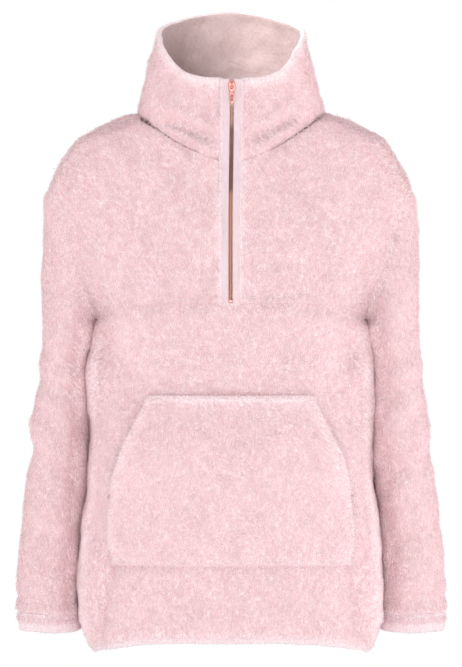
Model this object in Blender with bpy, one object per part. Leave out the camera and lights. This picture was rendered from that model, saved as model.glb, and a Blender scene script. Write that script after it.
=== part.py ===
"""Half-zip fleece pullover with a funnel collar and a kangaroo pocket.

Each cut and sewn piece is a closed cloth wall in an object of its own.  The walls are made
from two families of surfaces: horizontal slices for the torso and rings for the tubes.  The
frame has +Z up, the front faces -Y and the origin lies between the shoulders.  Metres.
"""

import math

import bmesh
import bpy
import numpy as np
from mathutils import Matrix

# Cloth and seams
WALL = 0.007             # backing and pile together, as far as the pile reaches
BAND_WALL = 0.003        # flat binding at the hem and cuffs
COLLAR_WALL = 0.0065
SEAM_GAP = 0.0003
SHARP_EDGE = 45          # degrees, past which a wall's edge is drawn sharp
LONGEST_MITRE = 2.0      # of the wall, where two walls meet in a fold

# Key points of the cut
SHOULDER_TIP_Z = -0.092
UNDERARM_Z = -0.258
NECK_SIDE_Z = 0.006
NECK_FRONT_Z = -0.058
NECK_BACK_Z = 0.020
SEAM_CENTRE_Z = -0.232
SHOULDER_COLUMNS = 6
NECK_COLUMNS = 4
POCKET_COLUMNS = 5
SIDE_COLUMNS = 5
UPPER_ROWS = 10
ARMHOLE_DEPTH = 0.066    # each way from the side, at mid height
ARMHOLE_SQUARENESS = 0.62
SIDE_DROP_POWER = 4      # how late a lower row drops on its way to the side seam
NECK_FRONT_POWER = 1.5
NECK_BACK_POWER = 2

# Torso slices: height, half width, front depth, back depth, squareness
TORSO = np.array([
    (-0.694, 0.1700, 0.117, 0.117, 3.0),
    (-0.684, 0.1775, 0.119, 0.119, 3.0),
    (-0.676, 0.1840, 0.121, 0.120, 3.0),
    (-0.664, 0.1880, 0.123, 0.121, 3.0),
    (-0.645, 0.1895, 0.125, 0.122, 3.0),
    (-0.608, 0.1915, 0.127, 0.124, 2.9),
    (-0.530, 0.1880, 0.128, 0.124, 2.9),
    (-0.460, 0.1805, 0.127, 0.122, 2.9),
    (-0.400, 0.1780, 0.126, 0.120, 2.9),
    (-0.335, 0.1780, 0.125, 0.118, 2.8),
    (-0.300, 0.1760, 0.125, 0.118, 2.8),
    (-0.280, 0.1725, 0.125, 0.118, 2.7),
    (-0.258, 0.1710, 0.124, 0.118, 2.6),
    (-0.235, 0.1860, 0.123, 0.118, 2.6),
    (-0.210, 0.2040, 0.122, 0.118, 2.5),
    (-0.170, 0.2260, 0.119, 0.118, 2.4),
    (-0.130, 0.2360, 0.114, 0.116, 2.3),
    (-0.092, 0.2345, 0.106, 0.112, 2.3),
    (-0.073, 0.2278, 0.100, 0.108, 2.3),
    (-0.054, 0.2180, 0.094, 0.104, 2.3),
    (-0.035, 0.2054, 0.088, 0.100, 2.3),
    (-0.0154, 0.1800, 0.081, 0.094, 2.3),
    (-0.0026, 0.1500, 0.077, 0.088, 2.2),
    (0.006, 0.1200, 0.073, 0.083, 2.2),
    (0.013, 0.1060, 0.070, 0.079, 2.2),
    (0.022, 0.0900, 0.066, 0.075, 2.2),
])

# Rows below the underarm: height at the centre front, drop towards the side seam
LOWER_ROWS = np.array([
    (-0.6500, -0.0265),
    (-0.6220, -0.0200),
    (-0.5900, -0.0110),
    (-0.5584, -0.0040),
    (-0.5310, 0.0),
    (-0.5030, 0.0),
    (-0.4754, 0.0),
    (-0.4520, 0.0),
    (-0.4260, 0.0),
    (-0.4000, 0.0),
    (-0.3740, -0.0010),
    (-0.3478, -0.0040),
    (-0.3100, -0.0110),
    (-0.2720, -0.0190),
    (SEAM_CENTRE_Z, UNDERARM_Z - SEAM_CENTRE_Z),
])
POCKET_FIRST_ROW = 3
POCKET_LAST_ROW = 11

# Pocket outline: height, half width
POCKET = np.array([
    (-0.690, 0.150),
    (-0.5584, 0.151),
    (-0.5080, 0.1505),
    (-0.4754, 0.1465),
    (-0.4520, 0.1405),
    (-0.4260, 0.1320),
    (-0.4000, 0.1220),
    (-0.3740, 0.1110),
    (-0.3478, 0.1015),
    (-0.2320, 0.0930),
])
POCKET_OPENING_END_Z = -0.4754
POCKET_GAPE = 0.0120
POCKET_FULLNESS = 0.0120
POCKET_ROUNDNESS = 0.8   # below 1 the pocket stands out sooner above its seams
POCKET_EDGE_POWER = 3    # how late the middle's fullness passes into the edge's gape

# Sleeve rings: height outside, height inside, outer and inner reach, centre and half depth in Y
SLEEVE = np.array([
    (-0.092, -0.258, 0.2345, 0.1710, 0.000, 0.0660),
    (-0.122, -0.2640, 0.2418, 0.1755, 0.001, 0.0685),
    (-0.158, -0.2700, 0.2426, 0.1760, 0.003, 0.0700),
    (-0.198, -0.2770, 0.2426, 0.1765, 0.005, 0.0710),
    (-0.240, -0.2860, 0.2428, 0.1775, 0.007, 0.0710),
    (-0.285, -0.2990, 0.2440, 0.1795, 0.010, 0.0700),
    (-0.327, -0.3270, 0.2495, 0.1808, 0.013, 0.0690),
    (-0.360, -0.3600, 0.2522, 0.1812, 0.015, 0.0675),
    (-0.400, -0.4000, 0.2586, 0.1812, 0.017, 0.0655),
    (-0.440, -0.4400, 0.2608, 0.1825, 0.018, 0.0630),
    (-0.480, -0.4800, 0.2665, 0.1860, 0.019, 0.0600),
    (-0.520, -0.5200, 0.2708, 0.1902, 0.020, 0.0570),
    (-0.560, -0.5600, 0.2752, 0.1935, 0.021, 0.0540),
    (-0.600, -0.6000, 0.2792, 0.1947, 0.022, 0.0500),
    (-0.624, -0.6240, 0.2795, 0.1947, 0.022, 0.0475),
    (-0.636, -0.6360, 0.2765, 0.1945, 0.022, 0.0440),
])
SLEEVE_RINGS = 25
ARMHOLE_BLEND = 4.5      # table rows over which the rings leave the armhole's own line
SLEEVE_SQUARENESS = 2.25
CUFF_DROP = 0.0225
CUFF_INSET = 0.002
HEM_DROP = 0.0078
HEM_INSET = 0.002

# Soft folds, the same left and right: both ends as distance from the middle and height, half
# breadth, depth (ridges are below zero) and side: 1 front, -1 back, 0 all round
FOLDS = np.array([
    (0.084, 0.000, 0.030, -0.022, 0.008, 0.0040, 1),
    (0.151, -0.556, 0.170, -0.672, 0.012, 0.0060, 1),
    (0.156, -0.286, 0.126, -0.345, 0.015, 0.0050, 1),
    (0.056, -0.578, 0.053, -0.656, 0.012, 0.0030, 1),
    (0.195, -0.120, 0.168, -0.215, 0.018, 0.0035, 1),
    (0.156, -0.286, 0.120, -0.360, 0.016, 0.0050, -1),
    (0.070, -0.420, 0.086, -0.665, 0.020, 0.0050, -1),
    (0.135, -0.500, 0.150, -0.670, 0.018, 0.0045, -1),
    (0.000, -0.090, 0.000, -0.240, 0.024, 0.0030, -1),
    (0.207, -0.346, 0.252, -0.330, 0.014, 0.0050, 1),
    (0.207, -0.310, 0.246, -0.292, 0.013, 0.0035, 1),
    (0.209, -0.363, 0.255, -0.342, 0.016, 0.0045, -1),
    (0.212, -0.447, 0.263, -0.424, 0.016, 0.0040, 0),
    (0.214, -0.536, 0.268, -0.520, 0.015, 0.0030, 1),
    (0.214, -0.565, 0.271, -0.585, 0.015, 0.0035, -1),
    (0.196, -0.620, 0.277, -0.616, 0.009, 0.0025, 0),
])
FOLD_MIDDLE_Y = 0.010    # parts front folds from back ones
FOLD_BLEND_Y = 0.040     # over which one kind passes into the other

# Collar rim: turn from the centre front in degrees, height
RIM = np.array([
    (0.0, 0.0450),
    (29.0, 0.0496),
    (48.0, 0.0642),
    (61.0, 0.0840),
    (90.0, 0.1070),
    (112.0, 0.1170),
    (135.0, 0.1245),
    (158.0, 0.1320),
    (180.0, 0.1357),
])
RIM_HALF_WIDTH = 0.0965
RIM_FRONT = 0.0980
RIM_BACK = 0.0830
COLLAR_ROWS = 8

# Zip
TAPE_REACH = 0.0125      # from the zip's centre line to the cloth's edge
CHAIN_HALF_WIDTH = 0.0030
CHAIN_THICKNESS = 0.0032
TAPE_THICKNESS = 0.0014
TAPE_DEPTH = 0.0030      # below the tips of the pile
ZIP_SHIFT = 0.0016       # the top of the zip stands this far to the wearer's left
SHIFT_FROM_Z = -0.14     # the zip leaves the middle at this height
SHIFT_OVER_Z = 0.16      # and has its full shift this much higher
SHIFT_FADE_X = 0.06      # the cloth beside it follows as far as this
SHIFT_FADE_Y = 0.03
BOTTOM_STOP_LOW = 0.0005
BOTTOM_STOP_HIGH = 0.0045
TOP_STOP_INNER = 0.0012
CHAIN_IN_SLIDER = 0.55   # share of the slider's length that the chain reaches into

# Slider, its bail and the pull tab
SLIDER_Z = 0.0300
SLIDER_LENGTH = 0.0135
SLIDER_WIDTH = 0.0094
PLATE = 0.0011
# One side of the plates, as shares of half the width and half the length
PLATE_SIDE = [(0.74, -1.0), (0.92, -0.4), (1.0, 0.3), (0.8, 0.78), (0.42, 1.0)]
POST_HALF_WIDTH = 0.0011
POST_SPAN = (0.35, 0.92)     # of half the length
BAIL_HALF_LENGTH = 0.0030
BAIL_HALF_WIDTH = 0.0009
BAIL_BAR = 0.0015
BAIL_CENTRE = 0.28       # of half the slider's length, above its middle
BAIL_LEG = 0.0009
BAIL_SINK = 0.0004       # how far each leg goes into the bar
TAB_LENGTH = 0.0235
TAB_WIDTH = 0.0066
TAB_THICKNESS = 0.0014
TAB_TOP_SHARE = 0.84     # of the tab's width
TAB_POINTS = 11          # round its lower end
TAB_CLEARANCE = 0.0005   # over the plate
WINDOW_HALF_WIDTH = 0.0014
WINDOW_LENGTH = 0.0042

CLOTH_COLOUR = (0.84, 0.62, 0.64)
BAND_COLOUR = (0.88, 0.70, 0.74)
TAPE_COLOUR = (0.87, 0.71, 0.78)
METAL_COLOUR = (0.72, 0.42, 0.33)


def smooth(x, xs, ys):
    """Monotone cubic curve through (xs, ys), held at its ends."""
    slope = np.diff(ys) / np.diff(xs)
    same_way = slope[:-1] * slope[1:] > 0
    a, b = np.diff(xs)[:-1], np.diff(xs)[1:]
    weight_a, weight_b = 2 * b + a, b + 2 * a
    safe = np.where(same_way, slope[:-1], 1.0), np.where(same_way, slope[1:], 1.0)
    inner = (weight_a + weight_b) / (weight_a / safe[0] + weight_b / safe[1])
    tangent = np.concatenate([slope[:1], np.where(same_way, inner, 0.0), slope[-1:]])
    x = np.clip(x, xs[0], xs[-1])
    k = np.clip(np.searchsorted(xs, x, side="right") - 1, 0, len(xs) - 2)
    step = xs[k + 1] - xs[k]
    t = (x - xs[k]) / step
    return (
        ys[k] * (1 + 2 * t) * (1 - t) ** 2
        + ys[k + 1] * t * t * (3 - 2 * t)
        + tangent[k] * step * t * (1 - t) ** 2
        - tangent[k + 1] * step * t * t * (1 - t)
    )


def unit(v):
    """The same arrows, one long."""
    return v / np.maximum(np.linalg.norm(v, axis=-1, keepdims=True), 1e-12)


def half_width(z):
    """Half width of the torso's slice at height z."""
    return smooth(z, TORSO[:, 0], TORSO[:, 1])


def depth(z, front):
    """Depth of the slice at height z, to the front or to the back."""
    return smooth(z, TORSO[:, 0], TORSO[:, 2 if front else 3])


def squareness(z):
    """Exponent of the slice's rounded rectangle."""
    return smooth(z, TORSO[:, 0], TORSO[:, 4])


def on_torso(ratio, z, front):
    """Points of the torso at a share of its half width and a height."""
    n = squareness(z)
    y = depth(z, front) * np.maximum(1 - np.abs(ratio) ** n, 0.0) ** (1 / n)
    return np.stack([ratio * half_width(z), -y if front else y, z], axis=-1)


def torso_normal(points):
    """Outward arrows of the torso's surface, from the slices' formula."""
    def field(x, y, z):
        n = squareness(z)
        d = np.where(y < 0, depth(z, True), depth(z, False))
        return (np.abs(x) / half_width(z)) ** n + (np.abs(y) / d) ** n

    x, y, z = points[..., 0], points[..., 1], points[..., 2]
    h = 1e-5
    slopes = [
        field(x + h, y, z) - field(x - h, y, z),
        field(x, y + h, z) - field(x, y - h, z),
        field(x, y, z + h) - field(x, y, z - h),
    ]
    return unit(np.stack(slopes, axis=-1))


def fold_depth(points):
    """How far the soft folds sink each point below the smooth form."""
    x, z = np.abs(points[..., 0]), points[..., 2]
    toward_front = np.clip(0.5 - (points[..., 1] - FOLD_MIDDLE_Y) / FOLD_BLEND_Y, 0.0, 1.0)
    sunk = np.zeros_like(x)
    for x0, z0, x1, z1, breadth, deep, side in FOLDS:
        run = np.array([x1 - x0, z1 - z0])
        t = ((x - x0) * run[0] + (z - z0) * run[1]) / (run @ run)
        away = np.hypot(x - x0 - np.clip(t, 0, 1) * run[0], z - z0 - np.clip(t, 0, 1) * run[1])
        share = {1: toward_front, -1: 1 - toward_front, 0: 1.0}[int(side)]
        sunk += deep * share * np.exp(-((away / breadth) ** 2))
    return sunk


def folded(points, arrows):
    """The points, sunk into the folds along their own arrows."""
    return points - unit(arrows) * fold_depth(points)[..., None]


def evenly(curve, count):
    """count + 1 points at even steps along a finely sampled curve."""
    run = np.concatenate([[0.0], np.cumsum(np.linalg.norm(np.diff(curve, axis=0), axis=1))])
    at = np.linspace(0.0, run[-1], count + 1)
    return np.stack([np.interp(at, run, curve[:, k]) for k in range(curve.shape[1])], axis=1)


def zip_centre(z):
    """How far the zip's centre line stands to the wearer's left at height z."""
    t = np.clip((z - SHIFT_FROM_Z) / SHIFT_OVER_Z, 0.0, 1.0)
    return ZIP_SHIFT * t * t * (3 - 2 * t)


def side_ratios(z, start):
    """Shares of the half width from the pocket's edge line to the side seam, even along the slice."""
    ratio = np.sin(np.linspace(math.asin(start), math.pi / 2, 400))
    curve = on_torso(ratio, np.full_like(ratio, z), True)
    run = np.concatenate([[0.0], np.cumsum(np.linalg.norm(np.diff(curve, axis=0), axis=1))])
    return np.interp(np.linspace(0.0, run[-1], SIDE_COLUMNS + 1), run, ratio)[1:]


def lower_half(front):
    """Points from the centre to the side, for the rows from the hem to the chest seam."""
    rows = []
    for z, drop in LOWER_ROWS:
        across = half_width(z)
        edge = smooth(z, POCKET[:, 0], POCKET[:, 1]) / across
        near = np.linspace(TAPE_REACH / across, edge, POCKET_COLUMNS + 1)
        ratio = np.concatenate([[0.0], near, side_ratios(z, edge)])
        ratio[-1] = 1.0
        rows.append(on_torso(ratio, z + drop * ratio ** SIDE_DROP_POWER, front))
    return np.array(rows)


def armhole():
    """Front and back armhole curves from the underarm to the shoulder tip, and their heights."""
    turn = np.linspace(0.0, math.pi, UPPER_ROWS + 1)
    z = UNDERARM_Z + (SHOULDER_TIP_Z - UNDERARM_Z) * (1 - np.cos(turn)) / 2
    y = ARMHOLE_DEPTH * np.maximum(np.sin(turn), 0.0) ** ARMHOLE_SQUARENESS
    y[[0, -1]] = 0.0
    n = squareness(z)
    curves = []
    for front in (True, False):
        ratio = (1 - (y / depth(z, front)) ** n) ** (1 / n)
        curves.append(np.stack([ratio * half_width(z), -y if front else y, z], axis=1))
    return curves


def shoulder_line():
    """Shoulder seam from the neck to the shoulder tip, along the top of the torso."""
    z = np.linspace(NECK_SIDE_Z, SHOULDER_TIP_Z, 300)
    return evenly(np.stack([half_width(z), 0 * z, z], axis=1), SHOULDER_COLUMNS)


def neckline(front):
    """Half of the neckline, from the centre (at the front, the zip's cloth edge) to the shoulder."""
    start, count = (TAPE_REACH, NECK_COLUMNS) if front else (0.0, NECK_COLUMNS + 1)
    reach = half_width(NECK_SIDE_Z)
    x = reach - (reach - start) * np.linspace(1.0, 0.0, 600) ** 2
    if front:
        z = NECK_FRONT_Z + (NECK_SIDE_Z - NECK_FRONT_Z) * (x / reach) ** NECK_FRONT_POWER
    else:
        z = NECK_BACK_Z + (NECK_SIDE_Z - NECK_BACK_Z) * (x / reach) ** NECK_BACK_POWER
    curve = evenly(on_torso(np.minimum(x / half_width(z), 1.0), z, front), count)
    curve[-1] = (reach, 0.0, NECK_SIDE_Z)
    return curve


def upper_half(bottom, front):
    """Points between the chest seam's line, the armhole, the shoulder seam and the neckline."""
    side = armhole()[0 if front else 1]
    top = np.concatenate([neckline(front), shoulder_line()[1:]])
    centre_top, centre_bottom = top[0], bottom[0]
    v = (side[:, 2] - side[0, 2]) / (side[-1, 2] - side[0, 2])
    u = np.linspace(0.0, 1.0, len(bottom))
    centre = centre_bottom + (centre_top - centre_bottom) * v[:, None]
    flat = np.empty((len(v), len(u), 3))
    for j in range(len(v)):
        across = (1 - v[j]) * bottom + v[j] * top
        up = (1 - u)[:, None] * centre[j] + u[:, None] * side[j]
        corners = (1 - v[j]) * ((1 - u)[:, None] * bottom[0] + u[:, None] * bottom[-1]) + v[j] * (
            (1 - u)[:, None] * top[0] + u[:, None] * top[-1]
        )
        flat[j] = across + up - corners
    z = flat[..., 2]
    grid = on_torso(np.minimum(flat[..., 0] / half_width(z), 1.0), z, front)
    grid[:, -1] = side
    grid[0] = bottom
    grid[-1] = top
    return grid


def shift_to_zip(grid):
    """Moves the columns beside the zip with its centre line, fading out over the chest."""
    fade = np.clip(1 - (np.abs(grid[..., 0]) - TAPE_REACH) / SHIFT_FADE_X, 0.0, 1.0)
    fade *= np.clip(-grid[..., 1] / SHIFT_FADE_Y, 0.0, 1.0)
    grid = grid.copy()
    grid[..., 0] += zip_centre(grid[..., 2]) * fade
    return grid


def sleeve_grid():
    """Rings of the wearer's left sleeve, from the armhole down; columns run round each ring."""
    front, back = armhole()
    loop = np.concatenate([front, back[-2:0:-1]])
    count = len(loop)
    turn = 2 * math.pi * np.arange(count) / count
    power = 2 / SLEEVE_SQUARENESS
    along = np.sign(np.cos(turn)) * np.abs(np.cos(turn)) ** power
    aside = np.sign(np.sin(turn)) * np.abs(np.sin(turn)) ** power
    aside[[0, count // 2]] = 0.0
    place = np.arange(len(SLEEVE), dtype=float)
    at = np.linspace(0.0, place[-1], SLEEVE_RINGS + 1)
    table = np.stack([smooth(at, place, column) for column in SLEEVE.T], axis=1)
    rings = []
    for high, low, outer, inner, centre_y, half_y in table:
        middle = np.array([(outer + inner) / 2, centre_y, (high + low) / 2])
        arm = np.array([inner - outer, 0.0, low - high]) / 2
        ring = middle + along[:, None] * arm
        ring[:, 1] -= aside * half_y
        rings.append(ring)
    rings = np.array(rings)
    share = np.clip(1 - at / ARMHOLE_BLEND, 0.0, 1.0) ** 1.5
    return rings + (loop - rings[0]) * share[:, None, None]


def ring_normal(grid, closed=True):
    """Outward arrows of a grid whose columns run round a tube."""
    if closed:
        around = np.roll(grid, -1, axis=1) - np.roll(grid, 1, axis=1)
    else:
        around = np.gradient(grid, axis=1)
    arrows = unit(np.cross(around, np.gradient(grid, axis=0)))
    outward = grid - grid.mean(axis=1, keepdims=True)
    return arrows if (arrows * outward).sum() > 0 else -arrows


def mitre(one, other, wall):
    """Where two walls meet: the arrow between their normals, long enough to keep their thickness."""
    between = unit(one + other)
    cosine = (one * between).sum(axis=-1, keepdims=True)
    return between * wall / np.maximum(cosine, 1 / LONGEST_MITRE)


def facing_front(arrows, columns):
    """The same arrows, without any lean to the side in some of their columns."""
    arrows = arrows.copy()
    for column in columns:
        length = np.linalg.norm(arrows[..., column, :], axis=-1, keepdims=True)
        arrows[..., column, 0] = 0.0
        arrows[..., column, :] = unit(arrows[..., column, :]) * length
    return arrows


def part_edge(outer, inner, side):
    """Draws one edge of a wall back by half of the seam's gap."""
    view = {
        "bottom": (outer, inner),
        "top": (outer[::-1], inner[::-1]),
        "start": (outer.swapaxes(0, 1), inner.swapaxes(0, 1)),
        "end": (outer.swapaxes(0, 1)[::-1], inner.swapaxes(0, 1)[::-1]),
    }[side]
    out, inn = view
    across = unit(np.cross(np.gradient(out[0], axis=0), out[0] - inn[0]))
    inward = ((out[1] - out[0]) * across).sum(axis=-1, keepdims=True)
    return across * np.where(inward > 0, 1.0, -1.0) * SEAM_GAP / 2


def draw_back(outer, inner, sides):
    """Draws several edges back, each worked out before any of them moves."""
    where = {
        "bottom": (0, slice(None)),
        "top": (-1, slice(None)),
        "start": (slice(None), 0),
        "end": (slice(None), -1),
    }
    moves = {side: part_edge(outer, inner, side) for side in sides}
    outer, inner = outer.copy(), inner.copy()
    for side, move in moves.items():
        outer[where[side]] += move
        inner[where[side]] += move
    return outer, inner


def part_ring(outer, inner, row):
    """Draws the ring at one end of a tube back by half of the seam's gap."""
    nearer = 1 if row == 0 else -2
    around = np.roll(outer[row], -1, axis=0) - np.roll(outer[row], 1, axis=0)
    across = unit(np.cross(around, outer[row] - inner[row]))
    inward = ((outer[nearer] - outer[row]) * across).sum(axis=-1, keepdims=True)
    move = across * np.where(inward > 0, 1.0, -1.0) * SEAM_GAP / 2
    outer, inner = outer.copy(), inner.copy()
    outer[row] += move
    inner[row] += move
    return outer, inner


def material(name, colour, metallic=0.0, roughness=0.9):
    """A plain Principled material."""
    made = bpy.data.materials.get(name) or bpy.data.materials.new(name)
    made.use_nodes = True
    shader = made.node_tree.nodes["Principled BSDF"]
    shader.inputs["Base Color"].default_value = (*colour, 1.0)
    shader.inputs["Metallic"].default_value = metallic
    shader.inputs["Roughness"].default_value = roughness
    return made


def link(name, mesh, look, parent):
    """Puts a mesh into the scene as one named object."""
    piece = bpy.data.objects.new(name, mesh)
    bpy.context.scene.collection.objects.link(piece)
    mesh.materials.append(look)
    piece.parent = parent
    return piece


def wall(name, outer, inner, look, parent, closed=False, even=False):
    """Closed wall between an outer and an inner grid.

    A closed grid runs round a tube.  An even one has the same triangles left and right of its
    middle column.
    """
    rows, columns = outer.shape[:2]
    points = np.concatenate([outer.reshape(-1, 3), inner.reshape(-1, 3)])
    below = rows * columns
    faces = []
    for j in range(rows - 1):
        for i in range(columns if closed else columns - 1):
            a, b = j * columns + i, j * columns + (i + 1) % columns
            c, d = b + columns, a + columns
            pair = [(a, b, d), (b, c, d)] if even and 2 * i >= columns - 1 else [(a, b, c), (a, c, d)]
            faces += pair + [tuple(k + below for k in reversed(face)) for face in pair]
    rims = [[i for i in range(columns)], [(rows - 1) * columns + i for i in range(columns)][::-1]]
    if closed:
        rims = [rim + rim[:1] for rim in rims]
    else:
        rims.append([j * columns for j in range(rows)][::-1])
        rims.append([j * columns + columns - 1 for j in range(rows)])
    for rim in rims:
        for a, b in zip(rim[:-1], rim[1:]):
            c, d = a + below, b + below
            across, other = np.linalg.norm(points[[b, a]] - points[[c, d]], axis=1)
            faces += [(b, a, c), (b, c, d)] if across < other else [(b, a, d), (a, c, d)]
    mesh = bpy.data.meshes.new(name)
    mesh.from_pydata(points.tolist(), [], faces)
    tidy = bmesh.new()
    tidy.from_mesh(mesh)
    if tidy.calc_volume(signed=True) < 0:
        bmesh.ops.reverse_faces(tidy, faces=tidy.faces)
    tidy.to_mesh(mesh)
    tidy.free()
    mesh.shade_smooth()
    mesh.set_sharp_from_angle(angle=math.radians(SHARP_EDGE))
    return link(name, mesh, look, parent)


def collar_grid(front_neck, back_neck):
    """Rings of the collar from the neckline up; columns run from the zip round to the zip."""
    half = np.concatenate([front_neck, back_neck[-2::-1]])
    other = half[-2::-1] * np.array([-1.0, 1.0, 1.0])
    base = np.concatenate([half, other])
    deep = np.where(base[:, 1] < 0, -front_neck[0, 1], back_neck[0, 1])
    turn = np.arctan2(np.abs(base[:, 0]) / half_width(NECK_SIDE_Z), -base[:, 1] / deep)
    x = np.sign(base[:, 0]) * RIM_HALF_WIDTH * np.sin(turn)
    x[[0, -1]] = TAPE_REACH, -TAPE_REACH
    y = -np.where(turn < math.pi / 2, RIM_FRONT, RIM_BACK) * np.cos(turn)
    rim = np.stack([x, y, smooth(np.degrees(turn), RIM[:, 0], RIM[:, 1])], axis=1)
    rise = np.linspace(0.0, 1.0, COLLAR_ROWS + 1)[:, None, None]
    return base + (rim - base) * rise


def build_torso(garment, cloth, sleeve_arrows, collar_arrows):
    """Builds the fronts and the back; returns the grids that other pieces are made from."""
    lower_front, lower_back = lower_half(True), lower_half(False)
    upper_front = upper_half(lower_front[-1][1:], True)
    upper_back = upper_half(lower_back[-1], False)
    arrows = {
        "lower_front": torso_normal(lower_front) * WALL,
        "lower_back": torso_normal(lower_back) * WALL,
        "upper_front": facing_front(torso_normal(upper_front), (0,)) * WALL,
        "upper_back": torso_normal(upper_back) * WALL,
    }
    front_turns, back_turns = sleeve_arrows
    arrows["upper_front"][:, -1] = front_turns
    arrows["upper_back"][:, -1] = back_turns
    arrows["lower_front"][-1, -1] = front_turns[0]
    arrows["lower_back"][-1, -1] = front_turns[0]
    front_neck, back_neck = collar_arrows
    arrows["upper_front"][-1, : NECK_COLUMNS + 1] = front_neck
    arrows["upper_back"][-1, : NECK_COLUMNS + 2] = back_neck

    flip = np.array([-1.0, 1.0, 1.0])
    for side, name in ((1.0, "front_upper_left"), (-1.0, "front_upper_right")):
        turn = np.array([side, 1.0, 1.0])
        outer = shift_to_zip(folded(upper_front, arrows["upper_front"]) * turn)
        inner = outer - arrows["upper_front"] * turn
        outer, inner = draw_back(outer, inner, ("bottom", "top", "start", "end"))
        wall(name, outer, inner, cloth, garment)

    def whole(half):
        return np.concatenate([(half * flip)[:, :0:-1], half], axis=1)

    back = np.concatenate([lower_back, upper_back[1:]])
    back_arrows = np.concatenate([arrows["lower_back"], arrows["upper_back"][1:]])
    halves = {"front_lower": (lower_front, arrows["lower_front"]), "back": (back, back_arrows)}
    for name, (half, offsets) in halves.items():
        outer = whole(folded(half, offsets))
        drawn = draw_back(outer, outer - whole(offsets), ("bottom", "top", "start", "end"))
        wall(name, *drawn, cloth, garment, even=True)
    return whole(lower_front), whole(lower_back)


def build_pocket(garment, cloth, front):
    """Kangaroo pocket on the lower front, from that panel's own points."""
    centre = front.shape[1] // 2
    reach = POCKET_COLUMNS + 1
    base = front[POCKET_FIRST_ROW : POCKET_LAST_ROW + 1, centre - reach : centre + reach + 1]
    z = base[:, reach, 2]
    top, bottom = z[-1], z[0]
    up = (z - bottom) / (top - bottom)
    gape = np.sin(math.pi * np.clip((z - POCKET_OPENING_END_Z) / (top - POCKET_OPENING_END_Z), 0, 1))
    across = np.abs(np.arange(-reach, reach + 1)) / reach
    middle = 1 - across ** POCKET_EDGE_POWER
    fullness = POCKET_FULLNESS * np.sin(math.pi * up)[:, None] ** POCKET_ROUNDNESS * middle
    stand = fullness + POCKET_GAPE * np.maximum(gape, 0.0)[:, None] * (1 - middle)
    normal = torso_normal(base)
    inner = folded(base, normal) + normal * (SEAM_GAP + stand)[..., None]
    return wall("pocket", inner + normal * WALL, inner, cloth, garment, even=True)


def build_hem(garment, band, front, back):
    """Flat band below the hem."""
    loop = np.concatenate([front[0], back[0][-2:0:-1]])
    faces_front = np.concatenate([np.ones(len(front[0])), np.zeros(len(back[0]) - 2)]) > 0
    ratio = loop[:, 0] / half_width(loop[:, 2])
    rows = []
    for down in (0.0, HEM_DROP / 2, HEM_DROP):
        z = loop[:, 2] - down
        rows.append(np.where(faces_front[:, None], on_torso(ratio, z, True), on_torso(ratio, z, False)))
    grid = np.array(rows)
    normal = torso_normal(grid)
    outer = folded(grid, normal) - normal * HEM_INSET
    outer, inner = part_ring(outer, outer - normal * BAND_WALL, 0)
    wall("hem_band", outer, inner, band, garment, closed=True)


def build_sleeves(garment, cloth, band, grid, turns):
    """Both sleeves and their cuff bands."""
    arrows = ring_normal(grid) * WALL
    arrows[0] = turns
    grid = folded(grid, arrows)
    outer, inner = part_ring(grid, grid - arrows, 0)
    outer, inner = part_ring(outer, inner, -1)
    end_normal = unit(arrows[-1] * np.array([1.0, 1.0, 0.0]))
    first = grid[-1] - end_normal * CUFF_INSET
    down = np.array([0.0, 0.0, -CUFF_DROP])
    cuff = np.array([first, first + down / 2, first + down])
    cuff_outer, cuff_inner = part_ring(cuff, cuff - end_normal * BAND_WALL, 0)
    for side, name in ((1.0, "left"), (-1.0, "right")):
        turn = np.array([side, 1.0, 1.0])
        wall(f"sleeve_{name}", outer * turn, inner * turn, cloth, garment, closed=True)
        wall(f"cuff_{name}", cuff_outer * turn, cuff_inner * turn, band, garment, closed=True)


def centre_line(front, front_arrows, collar, collar_arrows):
    """Points and outward arrows of the zip's line at the tips of the pile, from seam to rim."""
    points = np.concatenate([front[:, 0], collar[1:, 0]]) * np.array([0.0, 1.0, 1.0])
    arrows = np.concatenate([front_arrows[:, 0], collar_arrows[1:, 0]]) * np.array([0.0, 1.0, 1.0])
    points[:, 0] = zip_centre(points[:, 2])
    return points, unit(arrows)


def along_line(line, z):
    """Point and arrow of the zip's line at height z."""
    points, arrows = line
    at = [np.interp(z, points[:, 2], points[:, k]) for k in range(3)]
    way = [np.interp(z, points[:, 2], arrows[:, k]) for k in range(3)]
    return np.array(at), unit(np.array(way))


def strip(name, line, z_range, x_range, depths, look, parent):
    """A strip beside or on the zip's line, between two heights, sides and depths."""
    low, high = z_range
    inside = [z for z in line[0][:, 2] if low + 1e-4 < z < high - 1e-4]
    outer, inner = [], []
    for z in [low, *inside, high]:
        at, way = along_line(line, z)
        edges = np.array([at + np.array([x, 0.0, 0.0]) for x in x_range])
        outer.append(edges - way * depths[0])
        inner.append(edges - way * depths[1])
    return wall(name, np.array(outer), np.array(inner), look, parent)


def prism(name, outline, low, high):
    """Solid with a flat outline in X and Z, between two places in Y."""
    mesh = bpy.data.meshes.new(name)
    shape = bmesh.new()
    ring = [shape.verts.new((x, low, z)) for x, z in outline]
    face = shape.faces.new(ring)
    moved = bmesh.ops.extrude_face_region(shape, geom=[face])["geom"]
    corners = [v for v in moved if isinstance(v, bmesh.types.BMVert)]
    bmesh.ops.translate(shape, verts=corners, vec=(0.0, high - low, 0.0))
    bmesh.ops.recalc_face_normals(shape, faces=shape.faces)
    shape.to_mesh(mesh)
    shape.free()
    return mesh


def guide(name, mesh, matrix):
    """A shape that only serves another one's Boolean modifier."""
    helper = bpy.data.objects.new(name, mesh)
    bpy.context.scene.collection.objects.link(helper)
    helper.matrix_world = matrix
    helper.hide_render = True
    helper.display_type = "WIRE"
    return helper


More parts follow.
